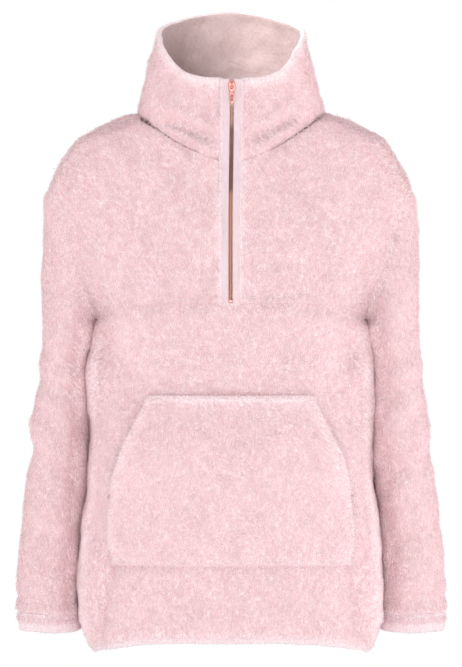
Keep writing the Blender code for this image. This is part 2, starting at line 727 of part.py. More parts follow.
def combine(piece, helper, operation):
    """Adds or cuts a helper's shape with the exact solver."""
    step = piece.modifiers.new(helper.name, "BOOLEAN")
    step.operation = operation
    step.object = helper


def box_outline(half, low, high):
    """Outline of a strip along the slider's middle."""
    return [(-half, low), (half, low), (half, high), (-half, high)]


def tab_outline():
    """The pull tab from its narrow top to its round end, hung from the origin."""
    half = TAB_WIDTH / 2
    turn = np.linspace(0.0, math.pi, TAB_POINTS)
    end = [(half * math.cos(t), half - TAB_LENGTH - half * math.sin(t)) for t in turn]
    top = TAB_THICKNESS / 2
    return [(-half * TAB_TOP_SHARE, top), (half * TAB_TOP_SHARE, top), *end]


def slider_frame(line):
    """Place and turn of the slider's middle: its X to the side, Y into the cloth, Z up the zip."""
    at, way = along_line(line, SLIDER_Z + SLIDER_LENGTH / 2)
    low, high = along_line(line, SLIDER_Z)[0], along_line(line, SLIDER_Z + SLIDER_LENGTH)[0]
    up = unit(high - low)
    back = unit(np.cross(up, np.array([1.0, 0.0, 0.0])))
    back = back if back[1] > 0 else -back
    frame = Matrix([[*row] for row in np.stack([np.cross(back, up), back, up], axis=1)]).to_4x4()
    frame.translation = (at - way * (TAPE_DEPTH + TAPE_THICKNESS / 2)).tolist()
    return frame


def build_slider(garment, metal, line):
    """Slider with its bail, on the closed zip just under the rim, and the pull tab."""
    frame = slider_frame(line)
    half, long_half = SLIDER_WIDTH / 2, SLIDER_LENGTH / 2
    right = [(half * x, long_half * z) for x, z in PLATE_SIDE]
    plate = right + [(-x, z) for x, z in reversed(right)]
    face = CHAIN_THICKNESS / 2 + SEAM_GAP
    slider = link("zip_slider", prism("zip_slider", plate, -face - PLATE, -face), metal, garment)
    slider.matrix_world = frame
    post = box_outline(POST_HALF_WIDTH, long_half * POST_SPAN[0], long_half * POST_SPAN[1])
    helpers = [
        guide("back_plate", prism("back_plate", plate, face, face + PLATE), frame),
        guide("post", prism("post", post, -face - PLATE / 2, face + PLATE / 2), frame),
    ]

    axis_out = face + PLATE + TAB_THICKNESS / 2 + TAB_CLEARANCE
    axis_up = long_half * BAIL_CENTRE
    under = axis_out + TAB_THICKNESS / 2 + SEAM_GAP
    bar = box_outline(BAIL_HALF_WIDTH, axis_up - BAIL_HALF_LENGTH, axis_up + BAIL_HALF_LENGTH)
    helpers.append(guide("bridge", prism("bridge", bar, -under - BAIL_BAR, -under), frame))
    for sign, name in ((-1, "leg_lower"), (1, "leg_upper")):
        ends = (axis_up + sign * (BAIL_HALF_LENGTH - BAIL_LEG), axis_up + sign * BAIL_HALF_LENGTH)
        leg = box_outline(BAIL_HALF_WIDTH, min(ends), max(ends))
        helpers.append(guide(name, prism(name, leg, -under - BAIL_SINK, -face - PLATE / 2), frame))
    for helper in helpers:
        combine(slider, helper, "UNION")

    hinge = bpy.data.objects.new("pull_hinge", None)
    bpy.context.scene.collection.objects.link(hinge)
    hinge.location = frame @ Matrix.Translation((0.0, -axis_out, axis_up)).translation
    hinge.parent = garment
    tab = prism("zip_pull", tab_outline(), -TAB_THICKNESS / 2, TAB_THICKNESS / 2)
    pull = link("zip_pull", tab, metal, hinge)
    window = box_outline(WINDOW_HALF_WIDTH, -WINDOW_LENGTH, -TAB_THICKNESS / 2)
    place = Matrix.Translation(hinge.location)
    cut = guide("window", prism("window", window, -TAB_THICKNESS, TAB_THICKNESS), place)
    combine(pull, cut, "DIFFERENCE")


def build_zip(garment, tape, metal, line):
    """Tapes, closed chain, stops, slider and pull tab."""
    bottom, rim = line[0][0, 2] + SEAM_GAP, line[0][-1, 2]
    tape_depths = (TAPE_DEPTH, TAPE_DEPTH + TAPE_THICKNESS)
    middle = TAPE_DEPTH + TAPE_THICKNESS / 2
    chain_depths = (middle - CHAIN_THICKNESS / 2, middle + CHAIN_THICKNESS / 2)
    near, far = CHAIN_HALF_WIDTH + SEAM_GAP, TAPE_REACH - SEAM_GAP
    strip("zip_tape_left", line, (bottom, rim), (near, far), tape_depths, tape, garment)
    strip("zip_tape_right", line, (bottom, rim), (-far, -near), tape_depths, tape, garment)
    stop_top = bottom + BOTTOM_STOP_HIGH
    across = (-CHAIN_HALF_WIDTH, CHAIN_HALF_WIDTH)
    chain_top = SLIDER_Z + SLIDER_LENGTH * CHAIN_IN_SLIDER
    stop = (bottom + BOTTOM_STOP_LOW, stop_top)
    strip("zip_bottom_stop", line, stop, across, chain_depths, metal, garment)
    strip("zip_chain", line, (stop_top + SEAM_GAP, chain_top), across, chain_depths, metal, garment)
    for sign, name in ((1, "zip_top_stop_left"), (-1, "zip_top_stop_right")):
        sides = tuple(sorted((sign * TOP_STOP_INNER, sign * CHAIN_HALF_WIDTH)))
        span = (SLIDER_Z + SLIDER_LENGTH + SEAM_GAP, rim - SEAM_GAP)
        strip(name, line, span, sides, chain_depths, metal, garment)
    build_slider(garment, metal, line)


def main():
    """Builds the garment."""
    for piece in list(bpy.data.objects):
        bpy.data.objects.remove(piece)
    garment = bpy.data.objects.new("garment", None)
    bpy.context.scene.collection.objects.link(garment)
    cloth = material("fleece", CLOTH_COLOUR)
    band = material("binding", BAND_COLOUR)
    tape = material("zip_tape", TAPE_COLOUR)
    metal = material("rose_gold", METAL_COLOUR, 1.0, 0.3)

    sleeve = sleeve_grid()
    turns = mitre(torso_normal(sleeve[0]), ring_normal(sleeve)[0], WALL)
    back_turns = np.concatenate([turns[:1], turns[:UPPER_ROWS:-1], turns[UPPER_ROWS : UPPER_ROWS + 1]])
    front_neck, back_neck = neckline(True), neckline(False)
    collar = collar_grid(front_neck, back_neck)
    collar_normal = facing_front(ring_normal(collar, False), (0, -1))
    collar_turns = mitre(torso_normal(collar[0]), collar_normal[0], COLLAR_WALL)
    collar_turns = facing_front(collar_turns, (0, -1))
    neck_side = NECK_COLUMNS
    neck_centre = neck_side + NECK_COLUMNS + 1
    neck_arrows = (collar_turns[: neck_side + 1], collar_turns[neck_side : neck_centre + 1][::-1])

    front, back = build_torso(garment, cloth, (turns[: UPPER_ROWS + 1], back_turns), neck_arrows)
    build_pocket(garment, cloth, front)
    build_hem(garment, band, front, back)
    build_sleeves(garment, cloth, band, sleeve, turns)

    collar_arrows = collar_normal * COLLAR_WALL
    collar_arrows[0] = collar_turns
    collar_outer = shift_to_zip(folded(collar, collar_arrows))
    drawn = draw_back(collar_outer, collar_outer - collar_arrows, ("bottom", "start", "end"))
    wall("collar", *drawn, cloth, garment, even=True)

    upper = upper_half(lower_half(True)[-1][1:], True)
    upper_arrows = torso_normal(upper)
    upper_arrows[-1, 0] = collar_turns[0]
    line = centre_line(upper, upper_arrows, collar, collar_arrows)
    build_zip(garment, tape, metal, line)


main()
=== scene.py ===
"""Plush half-zip top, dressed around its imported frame.

Every cloth piece is a shell of backing with a coat of pile standing on it, made over the cut,
the folds and the zip line that the solids have.  Metres, +Z up, the front faces -Y and +X is
the wearer's left.
"""

from __future__ import annotations

import logging
import math
from dataclasses import dataclass, field
from enum import Enum
from typing import Sequence

import bmesh
import bpy
import numpy as np
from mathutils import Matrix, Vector


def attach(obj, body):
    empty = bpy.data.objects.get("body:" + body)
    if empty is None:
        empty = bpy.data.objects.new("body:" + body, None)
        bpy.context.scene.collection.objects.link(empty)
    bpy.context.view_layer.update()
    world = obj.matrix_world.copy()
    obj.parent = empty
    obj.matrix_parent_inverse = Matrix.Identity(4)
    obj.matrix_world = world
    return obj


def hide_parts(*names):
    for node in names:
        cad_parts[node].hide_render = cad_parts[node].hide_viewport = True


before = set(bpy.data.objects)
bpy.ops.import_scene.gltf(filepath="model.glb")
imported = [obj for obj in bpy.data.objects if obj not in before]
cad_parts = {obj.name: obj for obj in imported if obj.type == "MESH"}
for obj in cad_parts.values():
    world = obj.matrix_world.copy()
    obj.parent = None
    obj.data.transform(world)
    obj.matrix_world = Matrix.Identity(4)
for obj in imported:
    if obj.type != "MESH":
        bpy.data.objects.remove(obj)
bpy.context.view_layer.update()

log = logging.getLogger("plush_top")

GARMENT = "garment"
PULL = "pull_tab"
BAKE_MAP = "OFBake"
GRAIN_MAP = "Grain"
X_AXIS = np.array([1.0, 0.0, 0.0])
MOST_TRIANGLES = 1_000_000
MOST_IN_PIECE = 200_000
TENTHS = 10_000

Array = np.ndarray
Socket = bpy.types.NodeSocket
Material = bpy.types.Material
Piece = bpy.types.Object
Skin = tuple[Array, Array, Array]
Rows = tuple[tuple[int, ...], ...]
Colour = tuple[float, float, float]
Point = tuple[float, float, float]


class Side(Enum):
    """The wearer's side, as the sign of X."""

    LEFT = 1.0
    RIGHT = -1.0

    @property
    def word(self) -> str:
        """The side's name in lower case."""
        return self.name.lower()

    @property
    def turn(self) -> Array:
        """What a point on the left is multiplied by to lie on this side."""
        return np.array([self.value, 1.0, 1.0])


class Border(Enum):
    """The four borders of a grid of rows and columns."""

    BOTTOM = "bottom"
    TOP = "top"
    START = "start"
    END = "end"


# Curves and grids


def smooth(x: Array, xs: Array, ys: Array) -> Array:
    """Monotone cubic curve through points, held at its ends.

    Each stretch is a Hermite cubic whose end slopes are the weighted harmonic mean of the
    chords on both sides, and zero where the chords turn.

    Args:
        x: where the curve is read.
        xs: rising places of the points.
        ys: their values.

    Returns:
        The curve's value at each x.
    """
    slope = np.diff(ys) / np.diff(xs)
    same_way = slope[:-1] * slope[1:] > 0
    a, b = np.diff(xs)[:-1], np.diff(xs)[1:]
    weight_a, weight_b = 2 * b + a, b + 2 * a
    safe = np.where(same_way, slope[:-1], 1.0), np.where(same_way, slope[1:], 1.0)
    inner = (weight_a + weight_b) / (weight_a / safe[0] + weight_b / safe[1])
    tangent = np.concatenate([slope[:1], np.where(same_way, inner, 0.0), slope[-1:]])
    x = np.clip(x, xs[0], xs[-1])
    k = np.clip(np.searchsorted(xs, x, side="right") - 1, 0, len(xs) - 2)
    step = xs[k + 1] - xs[k]
    t = (x - xs[k]) / step
    return (
        ys[k] * (1 + 2 * t) * (1 - t) ** 2
        + ys[k + 1] * t * t * (3 - 2 * t)
        + tangent[k] * step * t * (1 - t) ** 2
        - tangent[k + 1] * step * t * t * (1 - t)
    )


def unit(v: Array) -> Array:
    """The same arrows, one long."""
    return v / np.maximum(np.linalg.norm(v, axis=-1, keepdims=True), 1e-12)


def ease(x: Array, low: float, high: float) -> Array:
    """Soft step from 0 at low to 1 at high: 3 t squared less 2 t cubed."""
    t = np.clip((x - low) / (high - low), 0.0, 1.0)
    return t * t * (3 - 2 * t)


def bell(x: Array, breadth: float) -> Array:
    """Bell curve that is 1 at zero: e to the minus square of x over its breadth."""
    return np.exp(-((x / breadth) ** 2))


def evenly(curve: Array, count: int) -> Array:
    """count + 1 points at even steps along a finely sampled curve.

    Args:
        curve: the fine curve's points.
        count: how many stretches to make.

    Returns:
        The points.
    """
    run = np.concatenate([[0.0], np.cumsum(np.linalg.norm(np.diff(curve, axis=0), axis=1))])
    at = np.linspace(0.0, run[-1], count + 1)
    return np.stack([np.interp(at, run, curve[:, k]) for k in range(curve.shape[1])], axis=1)


def refine(grid: Array, steps: int, axis: int, closed: bool = False) -> Array:
    """Points between a grid's rows or columns, on Catmull-Rom curves through them.

    Each stretch is the cubic whose slope at a point is half of the way between its neighbours.

    Args:
        grid: rows by columns by coordinates.
        steps: new stretches for each old one.
        axis: 0 to add rows, 1 to add columns.
        closed: whether the last one joins the first.

    Returns:
        The finer grid.
    """
    grid = np.moveaxis(grid, axis, 0)
    if closed:
        ends = np.concatenate([grid[-1:], grid, grid[:2]])
        spans = len(grid)
    else:
        ends = np.concatenate([2 * grid[:1] - grid[1:2], grid, 2 * grid[-1:] - grid[-2:-1]])
        spans = len(grid) - 1
    at = np.arange(spans * steps + (0 if closed else 1)) / steps
    k = np.minimum(at.astype(int), spans - 1)
    t = (at - k).reshape(-1, *[1] * (grid.ndim - 1))
    p0, p1, p2, p3 = (ends[k + i] for i in range(4))
    bend = 2 * p0 - 5 * p1 + 4 * p2 - p3 + t * (3 * p1 - p0 - 3 * p2 + p3)
    return np.moveaxis(p1 + t / 2 * (p2 - p0 + t * bend), 0, axis)


def finer(grid: Array, steps: tuple[int, int], closed: bool = False) -> Array:
    """The grid with new rows and then new columns; closed joins its last column to the first."""
    return refine(refine(grid, steps[0], 0), steps[1], 1, closed)


def arrows_of(grid: Array, closed: bool) -> Array:
    """Unit arrows out of a grid: the cross product of its columns' and rows' directions.

    They are turned to point away from the garment's own middle line, or a tube's.

    Args:
        grid: rows by columns by coordinates.
        closed: whether its columns run round a tube.

    Returns:
        An arrow for each point.
    """
    if closed:
        around = np.roll(grid, -1, axis=1) - np.roll(grid, 1, axis=1)
        outward = grid - grid.mean(axis=1, keepdims=True)
    else:
        around = np.gradient(grid, axis=1)
        outward = grid * np.array([1.0, 1.0, 0.0])
    arrows = unit(np.cross(around, np.gradient(grid, axis=0)))
    return arrows if (arrows * outward).sum() > 0 else -arrows


def reach_from(grid: Array, border: Border) -> Array:
    """How far each point of a grid lies from one border, along its own row or column.

    Args:
        grid: rows by columns by coordinates.
        border: the border to measure from.

    Returns:
        A length for each point.
    """
    axis = 0 if border in (Border.BOTTOM, Border.TOP) else 1
    lengths = np.linalg.norm(np.diff(grid, axis=axis), axis=-1)
    if border in (Border.BOTTOM, Border.START):
        run = np.cumsum(lengths, axis=axis)
        pad = ((1, 0), (0, 0)) if axis == 0 else ((0, 0), (1, 0))
    else:
        run = np.flip(np.cumsum(np.flip(lengths, axis), axis=axis), axis)
        pad = ((0, 1), (0, 0)) if axis == 0 else ((0, 0), (0, 1))
    return np.pad(run, pad)


def reaches(grid: Array) -> dict[Border, Array]:
    """How far each point of an open grid lies from each of its borders."""
    return {border: reach_from(grid, border) for border in Border}


def around_circle(count: int) -> Array:
    """Angles of count points, evenly round a circle from zero."""
    return np.linspace(0, 2 * math.pi, count + 1)[:-1]


def squared(turn: Array, power: float) -> Array:
    """Cosine and sine of each angle, both to a power with their signs kept."""
    ring = np.stack([np.cos(turn), np.sin(turn)], axis=1)
    return np.sign(ring) * np.abs(ring) ** power


@dataclass(frozen=True)
class Ripple:
    """Smooth unevenness in space: the sum of plane waves of about one length, each in a seeded
    direction, scaled so that its usual height is 1."""

    length: float
    seed: int
    count: int = 12

    def _waves(self) -> tuple[Array, Array]:
        """Wave numbers and phases.

        Returns:
            An arrow and a phase for each wave.
        """
        draw = np.random.default_rng(self.seed)
        ways = unit(draw.normal(size=(self.count, 3)))
        lengths = self.length * draw.uniform(0.75, 1.5, size=(self.count, 1))
        return ways * 2 * math.pi / lengths, draw.uniform(0, 2 * math.pi, self.count)

    def height(self, points: Array) -> Array:
        """The unevenness at each point."""
        ways, phases = self._waves()
        return np.sin(points @ ways.T + phases).sum(axis=-1) * math.sqrt(2 / self.count)

    def slope(self, points: Array) -> Array:
        """Its gradient times the wave length, so that it is near 1 as well.

        Args:
            points: where it is read.

        Returns:
            An arrow for each point.
        """
        ways, phases = self._waves()
        rise = np.cos(points @ ways.T + phases) @ ways
        return rise * self.length / (2 * math.pi) * math.sqrt(2 / self.count)


# Meshes


def mesh_of(name: str, points: Array, quads: Array, tris: Array) -> bpy.types.Mesh:
    """A smooth-shaded mesh from whole arrays of points and faces.

    Args:
        name: the mesh's name.
        points: its points.
        quads: point numbers of its four-sided faces.
        tris: point numbers of its triangles.

    Returns:
        The mesh.
    """
    corners = np.concatenate([quads.ravel(), tris.ravel()]).astype(np.int32)
    starts = np.concatenate([np.arange(len(quads)) * 4, quads.size + np.arange(len(tris)) * 3])
    mesh = bpy.data.meshes.new(name)
    mesh.vertices.add(len(points))
    mesh.vertices.foreach_set("co", np.ascontiguousarray(points, np.float32).ravel())
    mesh.loops.add(len(corners))
    mesh.loops.foreach_set("vertex_index", corners)
    mesh.polygons.add(len(starts))
    mesh.polygons.foreach_set("loop_start", starts.astype(np.int32))
    mesh.update(calc_edges=True)
    mesh.validate()
    mesh.shade_smooth()
    return mesh


def triangles_of(piece: Piece) -> int:
    """Triangles of a piece: its corners less two for each face."""
    return len(piece.data.loops) - 2 * len(piece.data.polygons)


def volume_of(points: Array, quads: Array) -> float:
    """Signed volume inside quads: the sum of the pyramids from the origin to their halves."""
    a, b, c, d = (points[quads[:, k]] for k in range(4))
    return float((a * np.cross(b, c)).sum() + (a * np.cross(c, d)).sum()) / 6


def place(name: str, mesh: bpy.types.Mesh, looks: Sequence[Material]) -> Piece:
    """Puts a mesh into the scene as a piece with its materials.

    Args:
        name: the piece's name.
        mesh: its mesh.
        looks: its materials.

    Returns:
        The piece.
    """
    for look in looks:
        mesh.materials.append(look)
    piece = bpy.data.objects.new(name, mesh)
    bpy.context.scene.collection.objects.link(piece)
    return piece


def loft(rings: Array, around: bool = False) -> Skin:
    """Skin over rings of points: a quad between each pair of neighbours on two rings.

    Args:
        rings: rings by points by coordinates, each ring closed.
        around: whether the last ring joins the first; otherwise a fan closes each end.

    Returns:
        Points, quads and triangles.
    """
    count, size = rings.shape[:2]
    lanes = count if around else count - 1
    j, i = np.meshgrid(np.arange(lanes), np.arange(size), indexing="ij")
    up, on = (j + 1) % count, (i + 1) % size
    quads = np.stack([j * size + i, j * size + on, up * size + on, up * size + i], axis=-1)
    points = rings.reshape(-1, 3)
    tris = np.empty((0, 3), int)
    if not around:
        middle = np.stack([rings[0].mean(axis=0), rings[-1].mean(axis=0)])
        points = np.concatenate([points, middle])
        k = np.arange(size)
        first = np.stack([(k + 1) % size, k, np.full(size, count * size)], axis=-1)
        last = (count - 1) * size + np.stack([k, (k + 1) % size, np.full(size, size + 1)], axis=-1)
        tris = np.concatenate([first, last])
    return points, quads.reshape(-1, 4), tris


def joined(parts: Sequence[tuple[Array, ...]]) -> tuple[Array, ...]:
    """Lofted parts as one: their faces count on from the points before them.

    Args:
        parts: points, quads and triangles of each part.

    Returns:
        Points, quads and triangles.
    """
    points, quads, tris = zip(*parts)
    before = np.cumsum([0, *map(len, points)])
    quads = [faces + first for faces, first in zip(quads, before)]
    tris = [faces + first for faces, first in zip(tris, before)]
    return np.concatenate(points), np.concatenate(quads), np.concatenate(tris)


@dataclass
class Panel:
    """One cut piece of cloth, given by the surface at the tips of its pile.

    Attributes:
        name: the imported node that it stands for.
        points: rows by columns by coordinates.
        arrows: unit arrows out of the cloth.
        pile: height of the pile under each point.
        wall: depth of the cloth's inner face under the tips.
        closed: whether its columns run round a tube.
        fall: 1 where its rows run upwards, -1 where they run downwards.
        flare: arrows added to the pile's fall, such as over a free edge.
    """

    name: str
    points: Array
    arrows: Array
    pile: Array
    wall: float | Array
    closed: bool = False
    fall: float = 1.0
    flare: Array | None = None

    def _perimeter(self) -> list[Array]:
        """Loops of point numbers along the borders, in the order of the faces beside them.

        Returns:
            One loop for an open grid, or two for a tube.
        """
        rows, columns = self.points.shape[:2]
        number = np.arange(rows * columns).reshape(rows, columns)
        if self.closed:
            return [number[0], number[-1][::-1]]
        sides = number[0, :-1], number[:-1, -1], number[-1, :0:-1], number[:0:-1, 0]
        return [np.concatenate(sides)]

    def shell(self, looks: Sequence[Material]) -> Piece:
        """The backing: an outer and an inner skin with a round edge between them.

        The outer skin lies one pile height under the tips and the inner one a wall's depth.  The
        edge's middle line stands out by a third of the wall.

        Args:
            looks: materials of the outer and the inner skin.

        Returns:
            The piece.
        """
        rows, columns = self.points.shape[:2]
        outer = (self.points - self.arrows * self.pile[..., None]).reshape(-1, 3)
        inner = (self.points - self.arrows * np.asarray(self.wall)[..., None]).reshape(-1, 3)
        last = columns if self.closed else columns - 1
        j, i = np.meshgrid(np.arange(rows - 1), np.arange(last), indexing="ij")
        on = (i + 1) % columns
        lanes = [j * columns + i, j * columns + on, (j + 1) * columns + on, (j + 1) * columns + i]
        skin = np.stack(lanes, axis=-1).reshape(-1, 4)
        below = rows * columns
        points, faces = [outer, inner], [skin, skin[:, ::-1] + below]
        kinds = [np.zeros(len(skin), int), np.ones(len(skin), int)]
        count = 2 * below
        for loop in self._perimeter():
            row, column = np.divmod(loop, columns)
            near_row = np.clip(row, 1, rows - 2)
            near = near_row * columns + (column if self.closed else np.clip(column, 1, columns - 2))
            away = unit(outer[loop] - outer[near])
            thick = np.linalg.norm(outer[loop] - inner[loop], axis=1, keepdims=True)
            points.append((outer[loop] + inner[loop]) / 2 + away * thick / 3)
            edge = count + np.arange(len(loop))
            count += len(loop)
            upper = np.stack([np.roll(loop, -1), loop, edge, np.roll(edge, -1)], axis=1)
            lower = np.stack([loop, np.roll(loop, -1), np.roll(edge, -1), edge], axis=1)
            lower[:, :2] += below
            faces += [upper, lower]
            kinds += [np.zeros(len(loop), int)] * 2
        points, quads = np.concatenate(points), np.concatenate(faces)
        if volume_of(points, quads) < 0:
            quads = quads[:, ::-1]
        mesh = mesh_of(self.name + "_cloth", points, quads, np.empty((0, 3), int))
        mesh.polygons.foreach_set("material_index", np.concatenate(kinds).astype(np.int32))
        self._grain(mesh, rows, columns)
        return place(self.name + "_cloth", mesh, looks)

    def _grain(self, mesh: bpy.types.Mesh, rows: int, columns: int) -> None:
        """UV map in metres along the cloth: across by the columns and up by the rows.

        Args:
            mesh: the shell's mesh.
            rows: rows of the panel.
            columns: columns of the panel.
        """
        across = reach_from(self.points, Border.START).mean(axis=0)
        up = reach_from(self.points, Border.BOTTOM).mean(axis=1)
        corners = np.empty(len(mesh.loops), np.int32)
        mesh.loops.foreach_get("vertex_index", corners)
        row, column = np.divmod(corners % (rows * columns), columns)
        spots = np.stack([across[column], up[row]], axis=1)
        mesh.uv_layers.new(name=GRAIN_MAP).uv.foreach_set("vector", spots.astype(np.float32).ravel())


# Form of the garment, as in the solids


@dataclass(frozen=True)
class TorsoForm:
    """The torso's smooth form: level slices, each a rounded rectangle.

    Columns of slices: height, half width, front depth and back depth, in tenths of a
    millimetre, and ten times the squareness.
    """

    slices: Rows = (
        (-6940, 1700, 1170, 1170, 30), (-6840, 1775, 1190, 1190, 30), (-6760, 1840, 1210, 1200, 30),
        (-6640, 1880, 1230, 1210, 30), (-6450, 1895, 1250, 1220, 30), (-6080, 1915, 1270, 1240, 29),
        (-5300, 1880, 1280, 1240, 29), (-4600, 1805, 1270, 1220, 29), (-4000, 1780, 1260, 1200, 29),
        (-3350, 1780, 1250, 1180, 28), (-3000, 1760, 1250, 1180, 28), (-2800, 1725, 1250, 1180, 27),
        (-2580, 1710, 1240, 1180, 26), (-2350, 1860, 1230, 1180, 26), (-2100, 2040, 1220, 1180, 25),
        (-1700, 2260, 1190, 1180, 24), (-1300, 2360, 1140, 1160, 23), (-920, 2345, 1060, 1120, 23),
        (-730, 2278, 1000, 1080, 23), (-540, 2180, 940, 1040, 23), (-350, 2054, 880, 1000, 23),
        (-154, 1800, 810, 940, 23), (-26, 1500, 770, 880, 22), (60, 1200, 730, 830, 22),
        (130, 1060, 700, 790, 22), (220, 900, 660, 750, 22),
    )

    def _read(self, z: Array, column: int) -> Array:
        """One column of the slices at height z."""
        table = np.array(self.slices) / (TENTHS, TENTHS, TENTHS, TENTHS, 10)
        return smooth(z, table[:, 0], table[:, column])

    def half_width(self, z: Array) -> Array:
        """Half width of the slice at height z."""
        return self._read(z, 1)

    def depth(self, z: Array, front: bool) -> Array:
        """Depth of the slice at height z, to the front or to the back."""
        return self._read(z, 2 if front else 3)

    def squareness(self, z: Array) -> Array:
        """Exponent of the slice's rounded rectangle."""
        return self._read(z, 4)

    def at(self, ratio: Array, z: Array, front: bool) -> Array:
        """Points at a share of the half width: x to the n plus y to the n is 1, in shares.

        Args:
            ratio: share of the half width.
            z: height.
            front: whether the point is at the front.

        Returns:
            The points.
        """
        n = self.squareness(z)
        y = self.depth(z, front) * np.maximum(1 - np.abs(ratio) ** n, 0.0) ** (1 / n)
        return np.stack([ratio * self.half_width(z), -y if front else y, z], axis=-1)

    def outward(self, points: Array) -> Array:
        """Unit arrows out of the form: the slope of the slices' own formula.

        Args:
            points: points on the form or near it.

        Returns:
            An arrow for each point.
        """

        def field_at(x: Array, y: Array, z: Array) -> Array:
            """Sum of both shares to the slice's power, which is 1 on the form."""
            n = self.squareness(z)
            d = np.where(y < 0, self.depth(z, True), self.depth(z, False))
            return (np.abs(x) / self.half_width(z)) ** n + (np.abs(y) / d) ** n

        x, y, z = points[..., 0], points[..., 1], points[..., 2]
        h = 1e-5
        slopes = [
            field_at(x + h, y, z) - field_at(x - h, y, z),
            field_at(x, y + h, z) - field_at(x, y - h, z),
            field_at(x, y, z + h) - field_at(x, y, z - h),
        ]
        return unit(np.stack(slopes, axis=-1))


@dataclass(frozen=True)
class Folds:
    """Soft troughs and ridges, each round a straight line as seen from the front.

    Columns: x and z of both ends, breadth and depth (ridges are below zero), all in tenths of a
    millimetre, and side, which is 1 at the front, -1 at the back and 0 all round.  The large ones
    are the solids' own and the same on both sides; the fine ones have their own X sign.
    """

    large: Rows = (
        (840, 0, 300, -220, 80, 40, 1), (1510, -5560, 1700, -6720, 120, 60, 1),
        (1560, -2860, 1260, -3450, 150, 50, 1), (560, -5780, 530, -6560, 120, 30, 1),
        (1950, -1200, 1680, -2150, 180, 35, 1), (1560, -2860, 1200, -3600, 160, 50, -1),
        (700, -4200, 860, -6650, 200, 50, -1), (1350, -5000, 1500, -6700, 180, 45, -1),
        (0, -900, 0, -2400, 240, 30, -1), (2070, -3460, 2520, -3300, 140, 50, 1),
        (2070, -3100, 2460, -2920, 130, 35, 1), (2090, -3630, 2550, -3420, 160, 45, -1),
        (2120, -4470, 2630, -4240, 160, 40, 0), (2140, -5360, 2680, -5200, 150, 30, 1),
        (2140, -5650, 2710, -5850, 150, 35, -1), (1960, -6200, 2770, -6160, 90, 25, 0),
    )
    fine: Rows = (
        (1080, 30, 500, -400, 80, 46, 1), (-1100, 30, -470, -420, 80, 48, 1),
        (960, 0, 420, -330, 70, -30, 1), (-970, 0, -400, -330, 70, -30, 1),
        (820, -20, 330, -240, 60, 42, 1), (-830, -40, -290, -250, 60, 44, 1),
        (1520, -5480, 1680, -6640, 50, 30, 1), (-1510, -5450, -1680, -6680, 50, 34, 1),
        (780, 160, 440, -60, 80, -18, 1), (-800, 160, -420, -50, 80, -18, 1),
        (1520, -3920, 1660, -5600, 130, -35, 1), (-1500, -3800, -1670, -5750, 140, -38, 1),
        (1660, -5600, 1820, -6550, 120, -30, 1), (-1680, -5600, -1830, -6550, 120, -30, 1),
        (10, -5740, 30, -6400, 100, 34, 1), (-1120, -5800, -1060, -6550, 110, 34, 1),
        (1080, -5760, 1010, -6550, 110, 32, 1), (900, -850, 1250, -1850, 180, 32, 1),
        (-860, -900, -1300, -1950, 180, 34, 1), (1500, -3000, 1000, -3300, 120, 16, 1),
        (-1520, -3050, -1080, -3250, 120, 18, 1), (300, -4400, 420, -5400, 160, 18, 1),
        (-440, -4300, -600, -5300, 180, 18, 1), (2260, -3860, 2500, -3770, 100, 28, 1),
        (-2260, -3860, -2520, -3720, 100, 30, 1), (2300, -4780, 2600, -4700, 110, 20, 1),
        (-2300, -4730, -2640, -4820, 110, 22, 1), (2340, -5000, 2520, -5600, 130, 22, 1),
        (-2350, -5050, -2520, -5520, 130, 22, 1), (2220, -1500, 2300, -2550, 140, 20, 1),
        (-2220, -1450, -2300, -2620, 140, 20, 1), (2280, -3920, 2540, -4000, 110, 24, -1),
        (-2280, -3960, -2540, -3860, 110, 24, -1), (2320, -4880, 2620, -4780, 120, 22, -1),
        (-2320, -4870, -2620, -4940, 120, 22, -1), (300, -3000, 180, -4800, 220, 28, -1),
        (-240, -2800, -400, -5000, 220, 26, -1), (1100, -1500, 700, -2600, 200, 26, -1),
        (-1060, -1400, -760, -2700, 200, 28, -1), (1740, -2680, 1925, -6400, 90, -46, 0),
        (-1740, -2680, -1925, -6400, 90, -46, 0), (1715, -2520, 1745, -2820, 90, -30, 0),
        (1760, -2680, 1830, -3700, 100, -43, 1), (-1760, -2680, -1830, -3700, 100, -43, 1),
        (-1715, -2520, -1745, -2820, 90, -30, 0), (200, -5600, 260, -6650, 140, 28, -1),
        (-320, -5500, -280, -6650, 140, 26, -1),
    )
    middle_y: float = 0.010
    blend_y: float = 0.040

    def sink(self, points: Array) -> Array:
        """How far each point sinks: over all folds, the depth times a bell curve of the way off.

        Args:
            points: points of the smooth form.

        Returns:
            A depth for each point.
        """
        toward_front = np.clip(0.5 - (points[..., 1] - self.middle_y) / self.blend_y, 0.0, 1.0)
        shares = {1: toward_front, -1: 1 - toward_front, 0: 1.0}
        sunk = np.zeros(points.shape[:-1])
        for rows, x in ((self.large, np.abs(points[..., 0])), (self.fine, points[..., 0])):
            z = points[..., 2]
            for *sizes, side in rows:
                x0, z0, x1, z1, breadth, deep = np.array(sizes) / TENTHS
                run = np.array([x1 - x0, z1 - z0])
                t = np.clip(((x - x0) * run[0] + (z - z0) * run[1]) / (run @ run), 0, 1)
                away = np.hypot(x - x0 - t * run[0], z - z0 - t * run[1])
                sunk += deep * shares[side] * bell(away, breadth)
        return sunk


